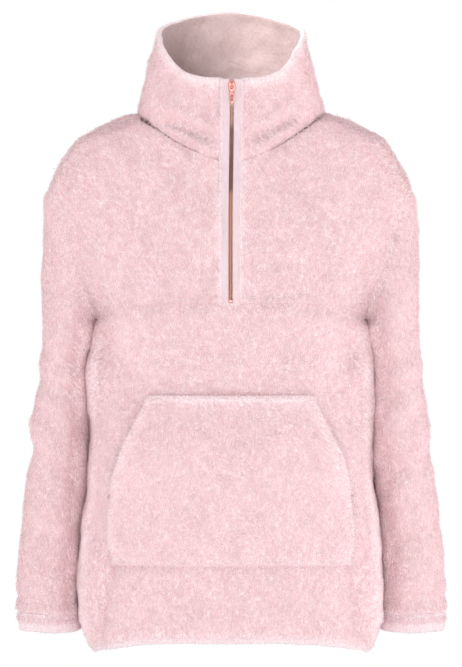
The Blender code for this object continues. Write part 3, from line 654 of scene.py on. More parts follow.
@dataclass(frozen=True)
class Cut:
    """The garment's cut: where its seams run, and the grids of its pieces at the pile's tips.

    lower_rows: height and drop at the side; pocket_edge: height and way from the middle, both in
    tenths of a millimetre.
    """

    torso: TorsoForm = field(default_factory=TorsoForm)
    folds: Folds = field(default_factory=Folds)
    wall: float = 0.007
    seam_gap: float = 0.0003
    shoulder_tip_z: float = -0.092
    underarm_z: float = -0.258
    neck_side_z: float = 0.006
    neck_front_z: float = -0.058
    neck_back_z: float = 0.020
    shoulder_columns: int = 6
    neck_columns: int = 4
    pocket_columns: int = 5
    side_columns: int = 5
    upper_rows: int = 10
    armhole_depth: float = 0.066
    armhole_squareness: float = 0.62
    side_drop_power: float = 4.0
    neck_front_power: float = 1.5
    neck_back_power: float = 2.0
    tape_reach: float = 0.0125
    zip_shift: float = 0.0016
    shift_from_z: float = -0.14
    shift_over_z: float = 0.16
    shift_fade_x: float = 0.06
    shift_fade_y: float = 0.03
    lower_rows: Rows = (
        (-6500, -265), (-6220, -200), (-5900, -110), (-5584, -40), (-5310, 0), (-5030, 0), (-4754, 0),
        (-4520, 0), (-4260, 0), (-4000, 0), (-3740, -10), (-3478, -40), (-3100, -110), (-2720, -190),
        (-2320, -260),
    )
    pocket_edge: Rows = (
        (-6900, 1500), (-5584, 1510), (-5080, 1505), (-4754, 1465), (-4520, 1405), (-4260, 1320),
        (-4000, 1220), (-3740, 1110), (-3478, 1015), (-2320, 930),
    )
    unevenness: tuple[tuple[float, float, int], ...] = (
        (0.075, 0.0011, 11), (0.030, 0.0006, 12), (0.0125, 0.00035, 13),
    )

    def folded(self, points: Array, arrows: Array) -> Array:
        """The points, sunk into the folds and slightly uneven, along their own arrows.

        Args:
            points: points of the smooth form.
            arrows: unit arrows out of it.

        Returns:
            The moved points.
        """
        rise = -self.folds.sink(points)
        for length, height, seed in self.unevenness:
            rise += height * Ripple(length, seed).height(points)
        return points + arrows * rise[..., None]

    def zip_centre(self, z: Array) -> Array:
        """How far the zip's centre line stands to the wearer's left at height z."""
        return self.zip_shift * ease(z, self.shift_from_z, self.shift_from_z + self.shift_over_z)

    def shift_to_zip(self, grid: Array) -> Array:
        """Moves the cloth beside the zip with its centre line, fading out over the chest.

        Args:
            grid: rows by columns by coordinates.

        Returns:
            The moved grid.
        """
        fade = np.clip(1 - (np.abs(grid[..., 0]) - self.tape_reach) / self.shift_fade_x, 0.0, 1.0)
        fade *= np.clip(-grid[..., 1] / self.shift_fade_y, 0.0, 1.0)
        grid = grid.copy()
        grid[..., 0] += self.zip_centre(grid[..., 2]) * fade
        return grid

    def edge_line(self) -> Array:
        """Heights of the pocket's edge line and its ways from the middle."""
        return np.array(self.pocket_edge).T / TENTHS

    def _side_ratios(self, z: float, start: float) -> Array:
        """Shares of the half width from the pocket's edge line to the side, even along the slice.

        Args:
            z: height of the slice.
            start: share at the pocket's edge line.

        Returns:
            A share for each column.
        """
        ratio = np.sin(np.linspace(math.asin(start), math.pi / 2, 400))
        curve = self.torso.at(ratio, np.full_like(ratio, z), True)
        run = np.concatenate([[0.0], np.cumsum(np.linalg.norm(np.diff(curve, axis=0), axis=1))])
        return np.interp(np.linspace(0.0, run[-1], self.side_columns + 1), run, ratio)[1:]

    def lower_half(self, front: bool) -> Array:
        """Points from the centre to the side, for the rows from the hem to the chest seam.

        Args:
            front: whether it is the front's half.

        Returns:
            Rows by columns by coordinates.
        """
        rows = []
        for z, drop in np.array(self.lower_rows) / TENTHS:
            across = self.torso.half_width(z)
            edge = smooth(z, *self.edge_line()) / across
            near = np.linspace(self.tape_reach / across, edge, self.pocket_columns + 1)
            ratio = np.concatenate([[0.0], near, self._side_ratios(z, edge)])
            ratio[-1] = 1.0
            rows.append(self.torso.at(ratio, z + drop * ratio ** self.side_drop_power, front))
        return np.array(rows)

    def armhole(self) -> list[Array]:
        """Front and back armhole curves, from the underarm to the shoulder tip.

        Returns:
            The points of the front curve and of the back one.
        """
        turn = np.linspace(0.0, math.pi, self.upper_rows + 1)
        z = self.underarm_z + (self.shoulder_tip_z - self.underarm_z) * (1 - np.cos(turn)) / 2
        y = self.armhole_depth * np.maximum(np.sin(turn), 0.0) ** self.armhole_squareness
        y[[0, -1]] = 0.0
        n = self.torso.squareness(z)
        curves = []
        for front in (True, False):
            ratio = (1 - (y / self.torso.depth(z, front)) ** n) ** (1 / n)
            x = ratio * self.torso.half_width(z)
            curves.append(np.stack([x, -y if front else y, z], axis=1))
        return curves

    def _shoulder_line(self) -> Array:
        """Shoulder seam from the neck to the shoulder tip, along the top of the torso.

        Returns:
            Its points.
        """
        z = np.linspace(self.neck_side_z, self.shoulder_tip_z, 300)
        line = np.stack([self.torso.half_width(z), 0 * z, z], axis=1)
        return evenly(line, self.shoulder_columns)

    def neckline(self, front: bool) -> Array:
        """Half of the neckline, from the centre or the zip's cloth edge to the shoulder.

        Args:
            front: whether it is the front's half.

        Returns:
            Its points.
        """
        count = self.neck_columns if front else self.neck_columns + 1
        start = self.tape_reach if front else 0.0
        reach = self.torso.half_width(self.neck_side_z)
        x = reach - (reach - start) * np.linspace(1.0, 0.0, 600) ** 2
        low, power = (
            (self.neck_front_z, self.neck_front_power)
            if front
            else (self.neck_back_z, self.neck_back_power)
        )
        z = low + (self.neck_side_z - low) * (x / reach) ** power
        ratio = np.minimum(x / self.torso.half_width(z), 1.0)
        curve = evenly(self.torso.at(ratio, z, front), count)
        curve[-1] = (reach, 0.0, self.neck_side_z)
        return curve

    def upper_half(self, bottom: Array, front: bool) -> Array:
        """Points between the chest seam's line, the armhole, the shoulder seam and the neckline.

        A Coons patch: the two ways across, less the way between the corners, put back on the
        torso's slices.

        Args:
            bottom: the chest seam's line.
            front: whether it is the front's half.

        Returns:
            Rows by columns by coordinates.
        """
        side = self.armhole()[0 if front else 1]
        top = np.concatenate([self.neckline(front), self._shoulder_line()[1:]])
        v = ((side[:, 2] - side[0, 2]) / (side[-1, 2] - side[0, 2]))[:, None, None]
        u = np.linspace(0.0, 1.0, len(bottom))[None, :, None]
        centre = bottom[0] + (top[0] - bottom[0]) * v
        across = (1 - v) * bottom + v * top
        up = (1 - u) * centre + u * side[:, None]
        corners = (1 - v) * ((1 - u) * bottom[0] + u * bottom[-1])
        corners = corners + v * ((1 - u) * top[0] + u * top[-1])
        flat = across + up - corners
        z = flat[..., 2]
        grid = self.torso.at(np.minimum(flat[..., 0] / self.torso.half_width(z), 1.0), z, front)
        grid[:, -1] = side
        grid[0] = bottom
        grid[-1] = top
        return grid

    @staticmethod
    def whole(half: Array) -> Array:
        """A half grid from the centre to the side, with its mirrored half."""
        return np.concatenate([(half * Side.RIGHT.turn)[:, :0:-1], half], axis=1)


# Shader wiring


class Signal:
    """A number in a shader: sums and products written in Python add its Math nodes."""

    def __init__(self, bench: Bench, socket: Socket) -> None:
        """Wraps one output socket of a bench's tree."""
        self.bench = bench
        self.socket = socket

    def _with(self, operation: str, *values: float | Signal) -> Signal:
        """A Math node over this and other values."""
        node = self.bench.node("ShaderNodeMath", {"operation": operation}, *values)
        return Signal(self.bench, node.outputs[0])

    def __add__(self, other: float | Signal) -> Signal:
        """The sum."""
        return self._with("ADD", self, other)

    __radd__ = __add__

    def __sub__(self, other: float | Signal) -> Signal:
        """This less the other."""
        return self._with("SUBTRACT", self, other)

    def __rsub__(self, other: float) -> Signal:
        """The other less this."""
        return self._with("SUBTRACT", other, self)

    def __mul__(self, other: float | Signal) -> Signal:
        """The product."""
        return self._with("MULTIPLY", self, other)

    __rmul__ = __mul__

    def wave(self, length: float) -> Signal:
        """Sine of this over a wave length, from 0 to 1."""
        return self._with("SINE", self * (2 * math.pi / length)) * 0.5 + 0.5

    def ramp(self, low: float, high: float) -> Signal:
        """0 below low, 1 above high and soft between."""
        settings = {"interpolation_type": "SMOOTHSTEP"}
        node = self.bench.node("ShaderNodeMapRange", settings, self, low, high)
        return Signal(self.bench, node.outputs[0])


class Bench:
    """One material in the making, with its node tree."""

    def __init__(self, name: str) -> None:
        """Starts a material of one Principled shader.

        Args:
            name: the material's name.
        """
        self.material = bpy.data.materials.new(name)
        self.material.use_nodes = True
        self.tree = self.material.node_tree
        self.shader = self.tree.nodes["Principled BSDF"]

    def put(self, socket: Socket, value: object) -> None:
        """Links a socket to a signal or an output, or sets its plain value.

        Args:
            socket: the input.
            value: a signal, an output or a plain value.
        """
        if isinstance(value, Signal):
            value = value.socket
        if isinstance(value, Socket):
            self.tree.links.new(value, socket)
        elif isinstance(value, tuple) and len(value) == 3 and socket.type == "RGBA":
            socket.default_value = (*value, 1.0)
        else:
            socket.default_value = value

    def node(
        self, kind: str, settings: dict[str, object], *inputs: object, **named: object
    ) -> bpy.types.Node:
        """Adds a node.

        Args:
            kind: Blender's type of the node.
            settings: its own settings, which are set first.
            inputs: values or links of its first sockets, in order.
            named: values or links of sockets by name, with _ for a space.

        Returns:
            The node.
        """
        made = self.tree.nodes.new(kind)
        for key, value in settings.items():
            setattr(made, key, value)
        for socket, value in zip(made.inputs, inputs):
            self.put(socket, value)
        for key, value in named.items():
            self.put(made.inputs[key.replace("_", " ")], value)
        return made

    def dress(self, **values: object) -> None:
        """Sets or links sockets of the shader by name, with _ for a space."""
        for key, value in values.items():
            self.put(self.shader.inputs[key.replace("_", " ")], value)

    def mix(self, share: object, first: object, second: object) -> Socket:
        """A colour between two, by a share.

        Args:
            share: how much of the second.
            first: a colour.
            second: another.

        Returns:
            The colour's output.
        """
        node = self.node("ShaderNodeMix", {"data_type": "RGBA"})
        self.put(node.inputs[0], share)
        self.put(node.inputs[6], first)
        self.put(node.inputs[7], second)
        return node.outputs[2]

    def here(self) -> Socket:
        """The point's place on the object, in metres."""
        return self.node("ShaderNodeTexCoord", {}).outputs["Object"]

    def parts(self, vector: Socket) -> list[Signal]:
        """The three numbers of a vector."""
        return [Signal(self, out) for out in self.node("ShaderNodeSeparateXYZ", {}, vector).outputs]

    def on_map(self, name: str) -> list[Signal]:
        """The two numbers of a UV map."""
        return self.parts(self.node("ShaderNodeUVMap", {"uv_map": name}).outputs[0])[:2]

    def noise(self, length: float, detail: float = 3.0, where: object = None) -> Signal:
        """Soft noise of about a given length in metres, from 0 to 1.

        Args:
            length: in metres.
            detail: octaves.
            where: a vector, or none for the place itself.

        Returns:
            The noise.
        """
        vector = self.here() if where is None else where
        made = self.node("ShaderNodeTexNoise", {}, Vector=vector, Scale=1 / length, Detail=detail)
        return Signal(self, made.outputs[0])

    def bump(self, height: Signal, distance: float, strength: float = 1.0) -> Socket:
        """A normal bent by a height from 0 to 1 that stands for a distance."""
        made = self.node("ShaderNodeBump", {}, Strength=strength, Distance=distance, Height=height)
        return made.outputs[0]


@dataclass(frozen=True)
class PileFinish:
    """Long soft fibres: deeper pink at the root and whitish at the tip, each of its own tint.

    They clear towards the tip, and a share of the light goes through them.
    """

    root: Colour = (0.955, 0.735, 0.75)
    warm: Colour = (0.96, 0.76, 0.778)
    pale: Colour = (0.97, 0.835, 0.856)
    fade: float = 0.84
    fade_from: float = 0.2
    fade_to: float = 1.05
    roughness: float = 0.8
    sheen: float = 0.4
    through: Colour = (0.97, 0.85, 0.868)
    through_share: float = 0.5
    sheen_roughness: float = 0.4

    def material(self) -> Material:
        """The fibres' material: across the map the tint changes, and up it the way to the tip.

        Returns:
            The material.
        """
        bench = Bench("pile_fibres")
        tint, along = bench.on_map(BAKE_MAP)
        tip = bench.mix(tint, self.warm, self.pale)
        solid = 1.0 - along.ramp(self.fade_from, self.fade_to) * self.fade
        bench.dress(
            Base_Color=bench.mix(along.ramp(-0.1, 0.7), self.root, tip),
            Alpha=solid,
            Roughness=self.roughness,
            Sheen_Weight=self.sheen,
            Sheen_Roughness=self.sheen_roughness,
            Sheen_Tint=(1.0, 0.96, 1.0),
            Specular_IOR_Level=0.25,
        )
        glow = bench.node("ShaderNodeBsdfTranslucent", {}, self.through).outputs[0]
        clear = bench.node("ShaderNodeBsdfTransparent", {}).outputs[0]
        glow = bench.node("ShaderNodeMixShader", {}, solid, clear, glow).outputs[0]
        fibre = bench.shader.outputs[0]
        whole = bench.node("ShaderNodeMixShader", {}, self.through_share, fibre, glow)
        output = next(node for node in bench.tree.nodes if node.type == "OUTPUT_MATERIAL")
        bench.put(output.inputs["Surface"], whole.outputs[0])
        return bench.material


@dataclass(frozen=True)
class ClothFinish:
    """What the plain cloth finishes share: two tones, a soft sheen and a fine bump."""

    name: str = "cloth"
    deep: Colour = (0.0, 0.0, 0.0)
    light: Colour = (1.0, 1.0, 1.0)
    roughness: float = 0.9
    sheen: float = 0.2
    sheen_roughness: float = 0.5
    specular: float = 0.2
    relief: float = 0.001

    def _pattern(self, bench: Bench) -> tuple[Signal, Signal]:
        """Share of the light tone, and height of the bump."""
        raise NotImplementedError

    def material(self) -> Material:
        """The pattern's tones and bump, dressed as cloth.

        Returns:
            The material.
        """
        bench = Bench(self.name)
        share, height = self._pattern(bench)
        bench.dress(
            Base_Color=bench.mix(share, self.deep, self.light),
            Roughness=self.roughness,
            Sheen_Weight=self.sheen,
            Sheen_Roughness=self.sheen_roughness,
            Specular_IOR_Level=self.specular,
            Normal=bench.bump(height, self.relief),
        )
        return bench.material


@dataclass(frozen=True)
class BackingFinish(ClothFinish):
    """The ground that the pile stands on, with short under-fur between the long fibres."""

    name: str = "pile_ground"
    deep: Colour = (0.955, 0.73, 0.745)
    light: Colour = (0.975, 0.835, 0.85)
    roughness: float = 0.95
    specular: float = 0.15
    relief: float = 0.002

    def _pattern(self, bench: Bench) -> tuple[Signal, Signal]:
        """Patches of two tones under fine tufts."""
        tufts = bench.noise(0.0028, 4.0)
        return (tufts * 0.6 + bench.noise(0.020) * 0.5).ramp(0.3, 0.8), tufts


@dataclass(frozen=True)
class InsideFinish(ClothFinish):
    """The cloth's smooth inner face: a brushed knit, flatter than the pile, in painted shade: both
    tones are darker and greyer than the pile to stand for the shade on the inner face.
    """

    name: str = "brushed_inside"
    # Painted shade: both tones are darker and greyer than the pink cloth, standing for the shade that
    # falls inside the garment.
    deep: Colour = (0.52, 0.38, 0.37)
    light: Colour = (0.72, 0.55, 0.545)
    sheen: float = 0.3
    relief: float = 0.0009

    def _pattern(self, bench: Bench) -> tuple[Signal, Signal]:
        """Faint knitted rows under a brushed nap.

        Args:
            bench: the material in the making.

        Returns:
            The share and the height.
        """
        across, up = bench.on_map(GRAIN_MAP)
        nap = bench.noise(0.0035, 4.0)
        rows = across.wave(0.0014) * 0.5 + up.wave(0.0011) * 0.5
        share = (bench.noise(0.045, 2.0) * 0.7 + nap * 0.4).ramp(0.3, 0.85)
        return share, nap * 0.8 + rows * 0.2


@dataclass(frozen=True)
class BindingFinish(ClothFinish):
    """Narrow stretch binding: smooth, with fine lengthwise ribs and a short nap."""

    name: str = "binding_knit"
    deep: Colour = (0.88, 0.71, 0.75)
    light: Colour = (0.95, 0.83, 0.865)
    roughness: float = 0.85
    sheen: float = 0.5
    sheen_roughness: float = 0.4
    relief: float = 0.0008

    def _pattern(self, bench: Bench) -> tuple[Signal, Signal]:
        """Ribs along the band and a soft cloudy tone.

        Args:
            bench: the material in the making.

        Returns:
            The share and the height.
        """
        nap = bench.noise(0.003, 4.0)
        ribs = bench.on_map(GRAIN_MAP)[1].wave(0.0016)
        share = (nap * 0.7 + ribs * 0.2 + bench.noise(0.03) * 0.3).ramp(0.3, 0.9)
        return share, nap * 0.6 + ribs * 0.4


@dataclass(frozen=True)
class TapeFinish(ClothFinish):
    """Woven zip tape: a flat herringbone in a cool, almost white pink."""

    name: str = "woven_tape"
    deep: Colour = (0.86, 0.65, 0.70)
    light: Colour = (0.96, 0.80, 0.84)
    roughness: float = 0.75
    specular: float = 0.3
    relief: float = 0.0004

    def _pattern(self, bench: Bench) -> tuple[Signal, Signal]:
        """Slanting weave lines that turn at each rib.

        Args:
            bench: the material in the making.

        Returns:
            The share and the height.
        """
        across, up = bench.on_map(GRAIN_MAP)
        ribs = across.wave(0.0022)
        weave = (up + ribs * 0.0011).wave(0.0012)
        share = (weave * 0.5 + bench.noise(0.006, 2.0) * 0.6).ramp(0.1, 0.9)
        return share, weave * 0.6 + ribs * 0.4


@dataclass(frozen=True)
class ThreadFinish(ClothFinish):
    """Sewing thread of the bar tacks."""

    name: str = "tack_thread"
    deep: Colour = (0.46, 0.25, 0.27)
    light: Colour = (0.62, 0.40, 0.42)
    roughness: float = 0.7
    specular: float = 0.5
    relief: float = 0.0002

    def _pattern(self, bench: Bench) -> tuple[Signal, Signal]:
        """Twisted strands in two tones."""
        strands = bench.noise(0.0007, 2.0)
        return strands, strands


@dataclass(frozen=True)
class MetalFinish:
    """Rose gold plating whose gloss and brown tone wander in random drifts and small patches, and which
    is darker between two heights: a painted reflection of the dark that the chain shows there.
    """

    name: str = "rose_gold_plate"
    bright: Colour = (0.76, 0.33, 0.29)
    dark: Colour = (0.30, 0.15, 0.12)
    roughness: float = 0.24
    brown_share: float = 0.55
    # Heights between which the metal is darkened as painted reflection, and the softness of that band's
    # ends.
    dark_low: float = -0.093
    dark_high: float = -0.012
    dark_soft: float = 0.006

    def material(self) -> Material:
        """Tone and gloss that wander along the metal, and a painted reflection that darkens it between
        two heights.

        Returns:
            The material.
        """
        bench = Bench(self.name)
        drift = bench.noise(0.055, 2.0)
        wear = bench.noise(0.0016, 3.0)
        high = bench.parts(bench.here())[2]
        # Painted reflection: between these two heights the metal is darker, standing for the dark that
        # the chain reflects there.
        soft = self.dark_soft
        painted_reflection_from = high.ramp(self.dark_low - soft, self.dark_low + soft)
        stretch = painted_reflection_from * (1.0 - high.ramp(self.dark_high - soft, self.dark_high + soft))
        brown_and_painted_reflection = (drift * 0.3 + wear * 0.35 + stretch * 0.5).ramp(0.25, 0.85) * self.brown_share
        bench.dress(
            Base_Color=bench.mix(brown_and_painted_reflection, self.bright, self.dark),
            Metallic=1.0,
            Roughness=wear * 0.18 + self.roughness,
            Normal=bench.bump(wear, 0.00008),
        )
        return bench.material


@dataclass(frozen=True)
class ToothFinish(MetalFinish):
    """The teeth's plating, yellower and browner, with the same painted darker reflection between two
    heights.
    """

    name: str = "rose_gold_teeth"
    bright: Colour = (0.95, 0.60, 0.47)
    dark: Colour = (0.34, 0.19, 0.15)
    brown_share: float = 0.85


@dataclass(frozen=True)
class Looks:
    """All finishes of the garment, made once."""

    pile: Material
    backing: Material
    # inside holds the inner face's finish, whose darker tones are painted shade.
    inside: Material
    binding: Material
    tape: Material
    metal: Material
    chain: Material
    thread: Material

    @classmethod
    def make(cls) -> Looks:
        """Makes each finish.

        Returns:
            The finishes.
        """
        kinds = (
            PileFinish, BackingFinish, InsideFinish, BindingFinish, TapeFinish, MetalFinish,
            ToothFinish, ThreadFinish,
        )
        return cls(*(kind().material() for kind in kinds))


# The coat of pile


@dataclass(frozen=True)
class Coat:
    """Long pile: seeded blades that stand on the backing and lean downwards.

    A blade is a bent kite of two triangles: a root point, a wide middle and a tip.
    """

    full_height: float = 0.0034
    band_height: float = 0.0010
    lean: float = 25.0
    lean_spread: float = 8.0
    half_width: float = 0.00052
    density: float = 370_000.0
    most_blades: int = 97_000
    swirl: Ripple = Ripple(0.060, 21)
    whorl: Ripple = Ripple(0.017, 22)
    clump: Ripple = Ripple(0.011, 23)
    patch: Ripple = Ripple(0.035, 24)
    swirl_turn: float = 0.16
    whorl_turn: float = 0.10
    turn_spread: float = 0.38
    least_lean: float = 16.0
    most_lean: float = 78.0
    clump_reach: float = 0.03
    reach_spread: float = 0.07
    clump_pull: float = 0.10
    root_depth: float = 1.02
    middle_run: float = 0.42
    middle_rise: float = 0.62
    spin: float = 0.25
    roundness: float = 0.12
    patch_tint: float = 0.10
    tint_spread: float = 0.15

    def _roots(
        self, panel: Panel, mask: Array | None, draw: np.random.Generator
    ) -> tuple[Array, ...]:
        """Random places on a panel: each cell gets blades by its area.

        Args:
            panel: the cloth.
            mask: share of the usual density in each cell.
            draw: the random source.

        Returns:
            Places at the tips, arrows out, heights of the pile and arrows down.
        """
        flare = np.zeros_like(panel.points) if panel.flare is None else panel.flare
        both = np.concatenate([panel.points, panel.arrows, panel.pile[..., None], flare], axis=-1)
        if panel.closed:
            both = np.concatenate([both, both[:, :1]], axis=1)
        a, b, c, d = both[:-1, :-1], both[:-1, 1:], both[1:, 1:], both[1:, :-1]
        area = np.linalg.norm(np.cross((c - a)[..., :3], (d - b)[..., :3]), axis=-1) / 2
        if mask is not None:
            area = area * mask
        count = np.floor(area * self.density + draw.random(area.shape)).astype(int).ravel()
        cell = np.repeat(np.arange(len(count)), count)
        s, t = draw.random((2, len(cell), 1))
        corners = [x.reshape(-1, 10)[cell] for x in (a, b, c, d)]
        spot = (1 - t) * ((1 - s) * corners[0] + s * corners[1])
        spot = spot + t * ((1 - s) * corners[3] + s * corners[2])
        down = unit((corners[0] - corners[3])[:, :3] * panel.fall) + spot[:, 7:]
        return spot[:, :3], unit(spot[:, 3:6]), spot[:, 6:7], unit(down)

    def grow(
        self, panel: Panel, seed: int, look: Material, mask: Array | None = None
    ) -> list[Piece]:
        """Grows the pile of a panel.

        A blade's root lies in the backing.  Its direction is the fall of the cloth, turned by two
        slow ripples and at random, and raised by its lean; its length carries the tip to the
        panel's surface.  Clumps draw the tips together down the slope of a third ripple.

        Args:
            panel: the cloth.
            seed: for the random draws.
            look: the fibres' material.
            mask: share of the usual density in each cell.

        Returns:
            One or more pieces, none past the most blades for a piece.
        """
        draw = np.random.default_rng(seed)
        tip_level, out, high, down = self._roots(panel, mask, draw)
        count = len(tip_level)
        turn = self.swirl_turn * self.swirl.height(tip_level)
        turn = turn + self.whorl_turn * self.whorl.height(tip_level)
        turn = (turn + self.turn_spread * draw.normal(size=count))[:, None]
        side = np.cross(out, down)
        way = down * np.cos(turn) + side * np.sin(turn)
        lean = self.lean + self.lean_spread * draw.normal(size=(count, 1))
        lean = np.radians(np.clip(lean, self.least_lean, self.most_lean))
        reach = 1.0 + self.clump_reach * self.clump.height(tip_level)[:, None]
        reach = reach + self.reach_spread * draw.normal(size=(count, 1))
        rise = high * np.clip(reach, 0.6, 1.3)
        pull = self.clump.slope(tip_level)
        pull -= out * (pull * out).sum(axis=1, keepdims=True)
        root = tip_level - out * high * self.root_depth
        run = way * rise / np.tan(lean) + pull * high * self.clump_pull
        tip = root + run + out * rise
        middle = root + run * self.middle_run + out * rise * self.middle_rise
        spin = draw.uniform(-self.spin, self.spin, size=(count, 1))
        axis = unit(tip - root)
        flat = unit(np.cross(axis, out))
        broad = flat * np.cos(spin) + np.cross(axis, flat) * np.sin(spin)
        face = np.cross(axis, broad)
        outward = np.where((face * out).sum(axis=1, keepdims=True) < 0, -1.0, 1.0)
        broad, face = broad * outward, face * outward
        share = 0.55 + 0.45 * np.clip(high / self.full_height, 0, 1)
        share = share * draw.uniform(0.7, 1.25, size=(count, 1))
        half = broad * self.half_width * share
        soft = unit(out + self.roundness * face)
        tint = 0.5 + self.patch_tint * self.patch.height(tip_level)
        tint = np.clip(tint + self.tint_spread * draw.normal(size=count), 0.03, 0.97)
        points = np.stack([root, middle - half, middle + half, tip], axis=1)
        pieces = []
        for number, start in enumerate(range(0, count, self.most_blades)):
            some = slice(start, start + self.most_blades)
            name = f"{panel.name}_pile" + ("" if count <= self.most_blades else f"_{number + 1}")
            pieces.append(self._piece(name, points[some], soft[some], tint[some], look))
        return pieces

    @staticmethod
    def _piece(
        name: str, points: Array, soft: Array, tint: Array, look: Material
    ) -> Piece:
        """Blades as one mesh, lit as the cloth under them and mapped by tint and way to the tip.

        Args:
            name: the piece's name.
            points: blades by four points.
            soft: a blade's shading arrow.
            tint: a blade's tint.
            look: the fibres' material.

        Returns:
            The piece.
        """
        count = len(points)
        first = np.arange(count)[:, None] * 4
        tris = np.stack([first + (0, 1, 2), first + (1, 3, 2)], axis=1).reshape(-1, 3)
        mesh = mesh_of(name, points.reshape(-1, 3), np.empty((0, 4), int), tris)
        normals = np.repeat(soft, 4, axis=0)
        mesh.normals_split_custom_set_from_vertices(normals.astype(np.float32))
        spots = np.empty((count, 4, 2))
        spots[..., 0] = tint[:, None] + np.array([0.0, -0.012, 0.012, 0.0])
        spots[..., 1] = np.array([0.0, 0.5, 0.5, 1.0])
        corners = spots.reshape(-1, 2)[tris.ravel()]
        spots_map = mesh.uv_layers.new(name=BAKE_MAP)
        spots_map.uv.foreach_set("vector", corners.astype(np.float32).ravel())
        return place(name, mesh, [look])


# Sub-assemblies


@dataclass(frozen=True)
class Seams:
    """How cloth behaves at its borders: seams sink, turned edges have hardly any pile."""

    groove: float = 0.0014
    groove_breadth: float = 0.0045
    turned_share: float = 0.40
    turned_from: float = 0.001
    turned_to: float = 0.007

    def tuck(self, reach: Array) -> Array:
        """How far the cloth sinks near a sewn seam, by the way from it."""
        return self.groove * bell(reach, self.groove_breadth)

    def turned(self, reach: Array) -> Array:
        """Share of the pile's height near a turned edge."""
        full = ease(reach, self.turned_from, self.turned_to)
        return self.turned_share + (1 - self.turned_share) * full


@dataclass
class Tailor:
    """What every sub-assembly needs: the cut, the coat, the seams' habits and the finishes."""

    cut: Cut
    coat: Coat
    seams: Seams
    looks: Looks
    made: list[Piece] = field(default_factory=list)

    def hand_over(self, piece: Piece, slot: str, *nodes: str, body: str = GARMENT) -> None:
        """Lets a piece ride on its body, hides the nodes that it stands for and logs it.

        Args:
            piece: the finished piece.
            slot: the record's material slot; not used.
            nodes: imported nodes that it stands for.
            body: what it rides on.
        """
        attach(piece, body)
        if nodes:
            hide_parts(*nodes)
        self.made.append(piece)
        log.info("%s: %d triangles, for %s", piece.name, triangles_of(piece), nodes or "no node")

    def bind(
        self, panel: Panel, seed: int, flat: tuple[float, float], rests_on: Sequence[str]
    ) -> None:
        """Makes a band: its smooth shell and its short nap.

        Args:
            panel: the band.
            seed: for its nap.
            flat: its cut, in metres; not used.
            rests_on: pieces that it is sewn to; not used.
        """
        band = panel.shell([self.looks.binding, self.looks.binding])
        self.hand_over(band, "binding", panel.name)
        nap = self.coat.grow(panel, seed, self.looks.pile)
        for piece in nap:
            self.hand_over(piece, "binding")

    def sew(
        self, panel: Panel, seed: int, flat: tuple[float, float], area: float,
        mask: Array | None = None, rests_on: Sequence[str] = (),
    ) -> None:
        """Makes a pile panel: its shell of backing and its coat.

        Args:
            panel: the cloth.
            seed: for its pile.
            flat: its cut's width and length, in metres; not used.
            area: its cut's area; not used.
            mask: share of the usual pile in each cell.
            rests_on: pieces that it lies on; not used.
        """
        # The inner skin gets the inside finish, whose darker, greyer tones are painted shade.
        shell = panel.shell([self.looks.backing, self.looks.inside])
        self.hand_over(shell, "fleece", panel.name)
        coat = self.coat.grow(panel, seed, self.looks.pile, mask)
        for piece in coat:
            self.hand_over(piece, "fleece")


@dataclass(frozen=True)
class Armhole:
    """The seam that torso and sleeve share, so that both walls end in the same edge.

    Its arrows lie midway between the torso's and the sleeve's.
    """

    points: Array
    arrows: Array
    pile: Array

    def half(self, front: bool) -> Skin:
        """Its front or back half, from the underarm to the shoulder tip.

        Args:
            front: whether it is the front half.

        Returns:
            Points, arrows and heights of the pile.
        """
        count = len(self.points)
        order = np.arange(count // 2 + 1)
        if not front:
            order = (count - order) % count
        return self.points[order], self.arrows[order], self.pile[order]


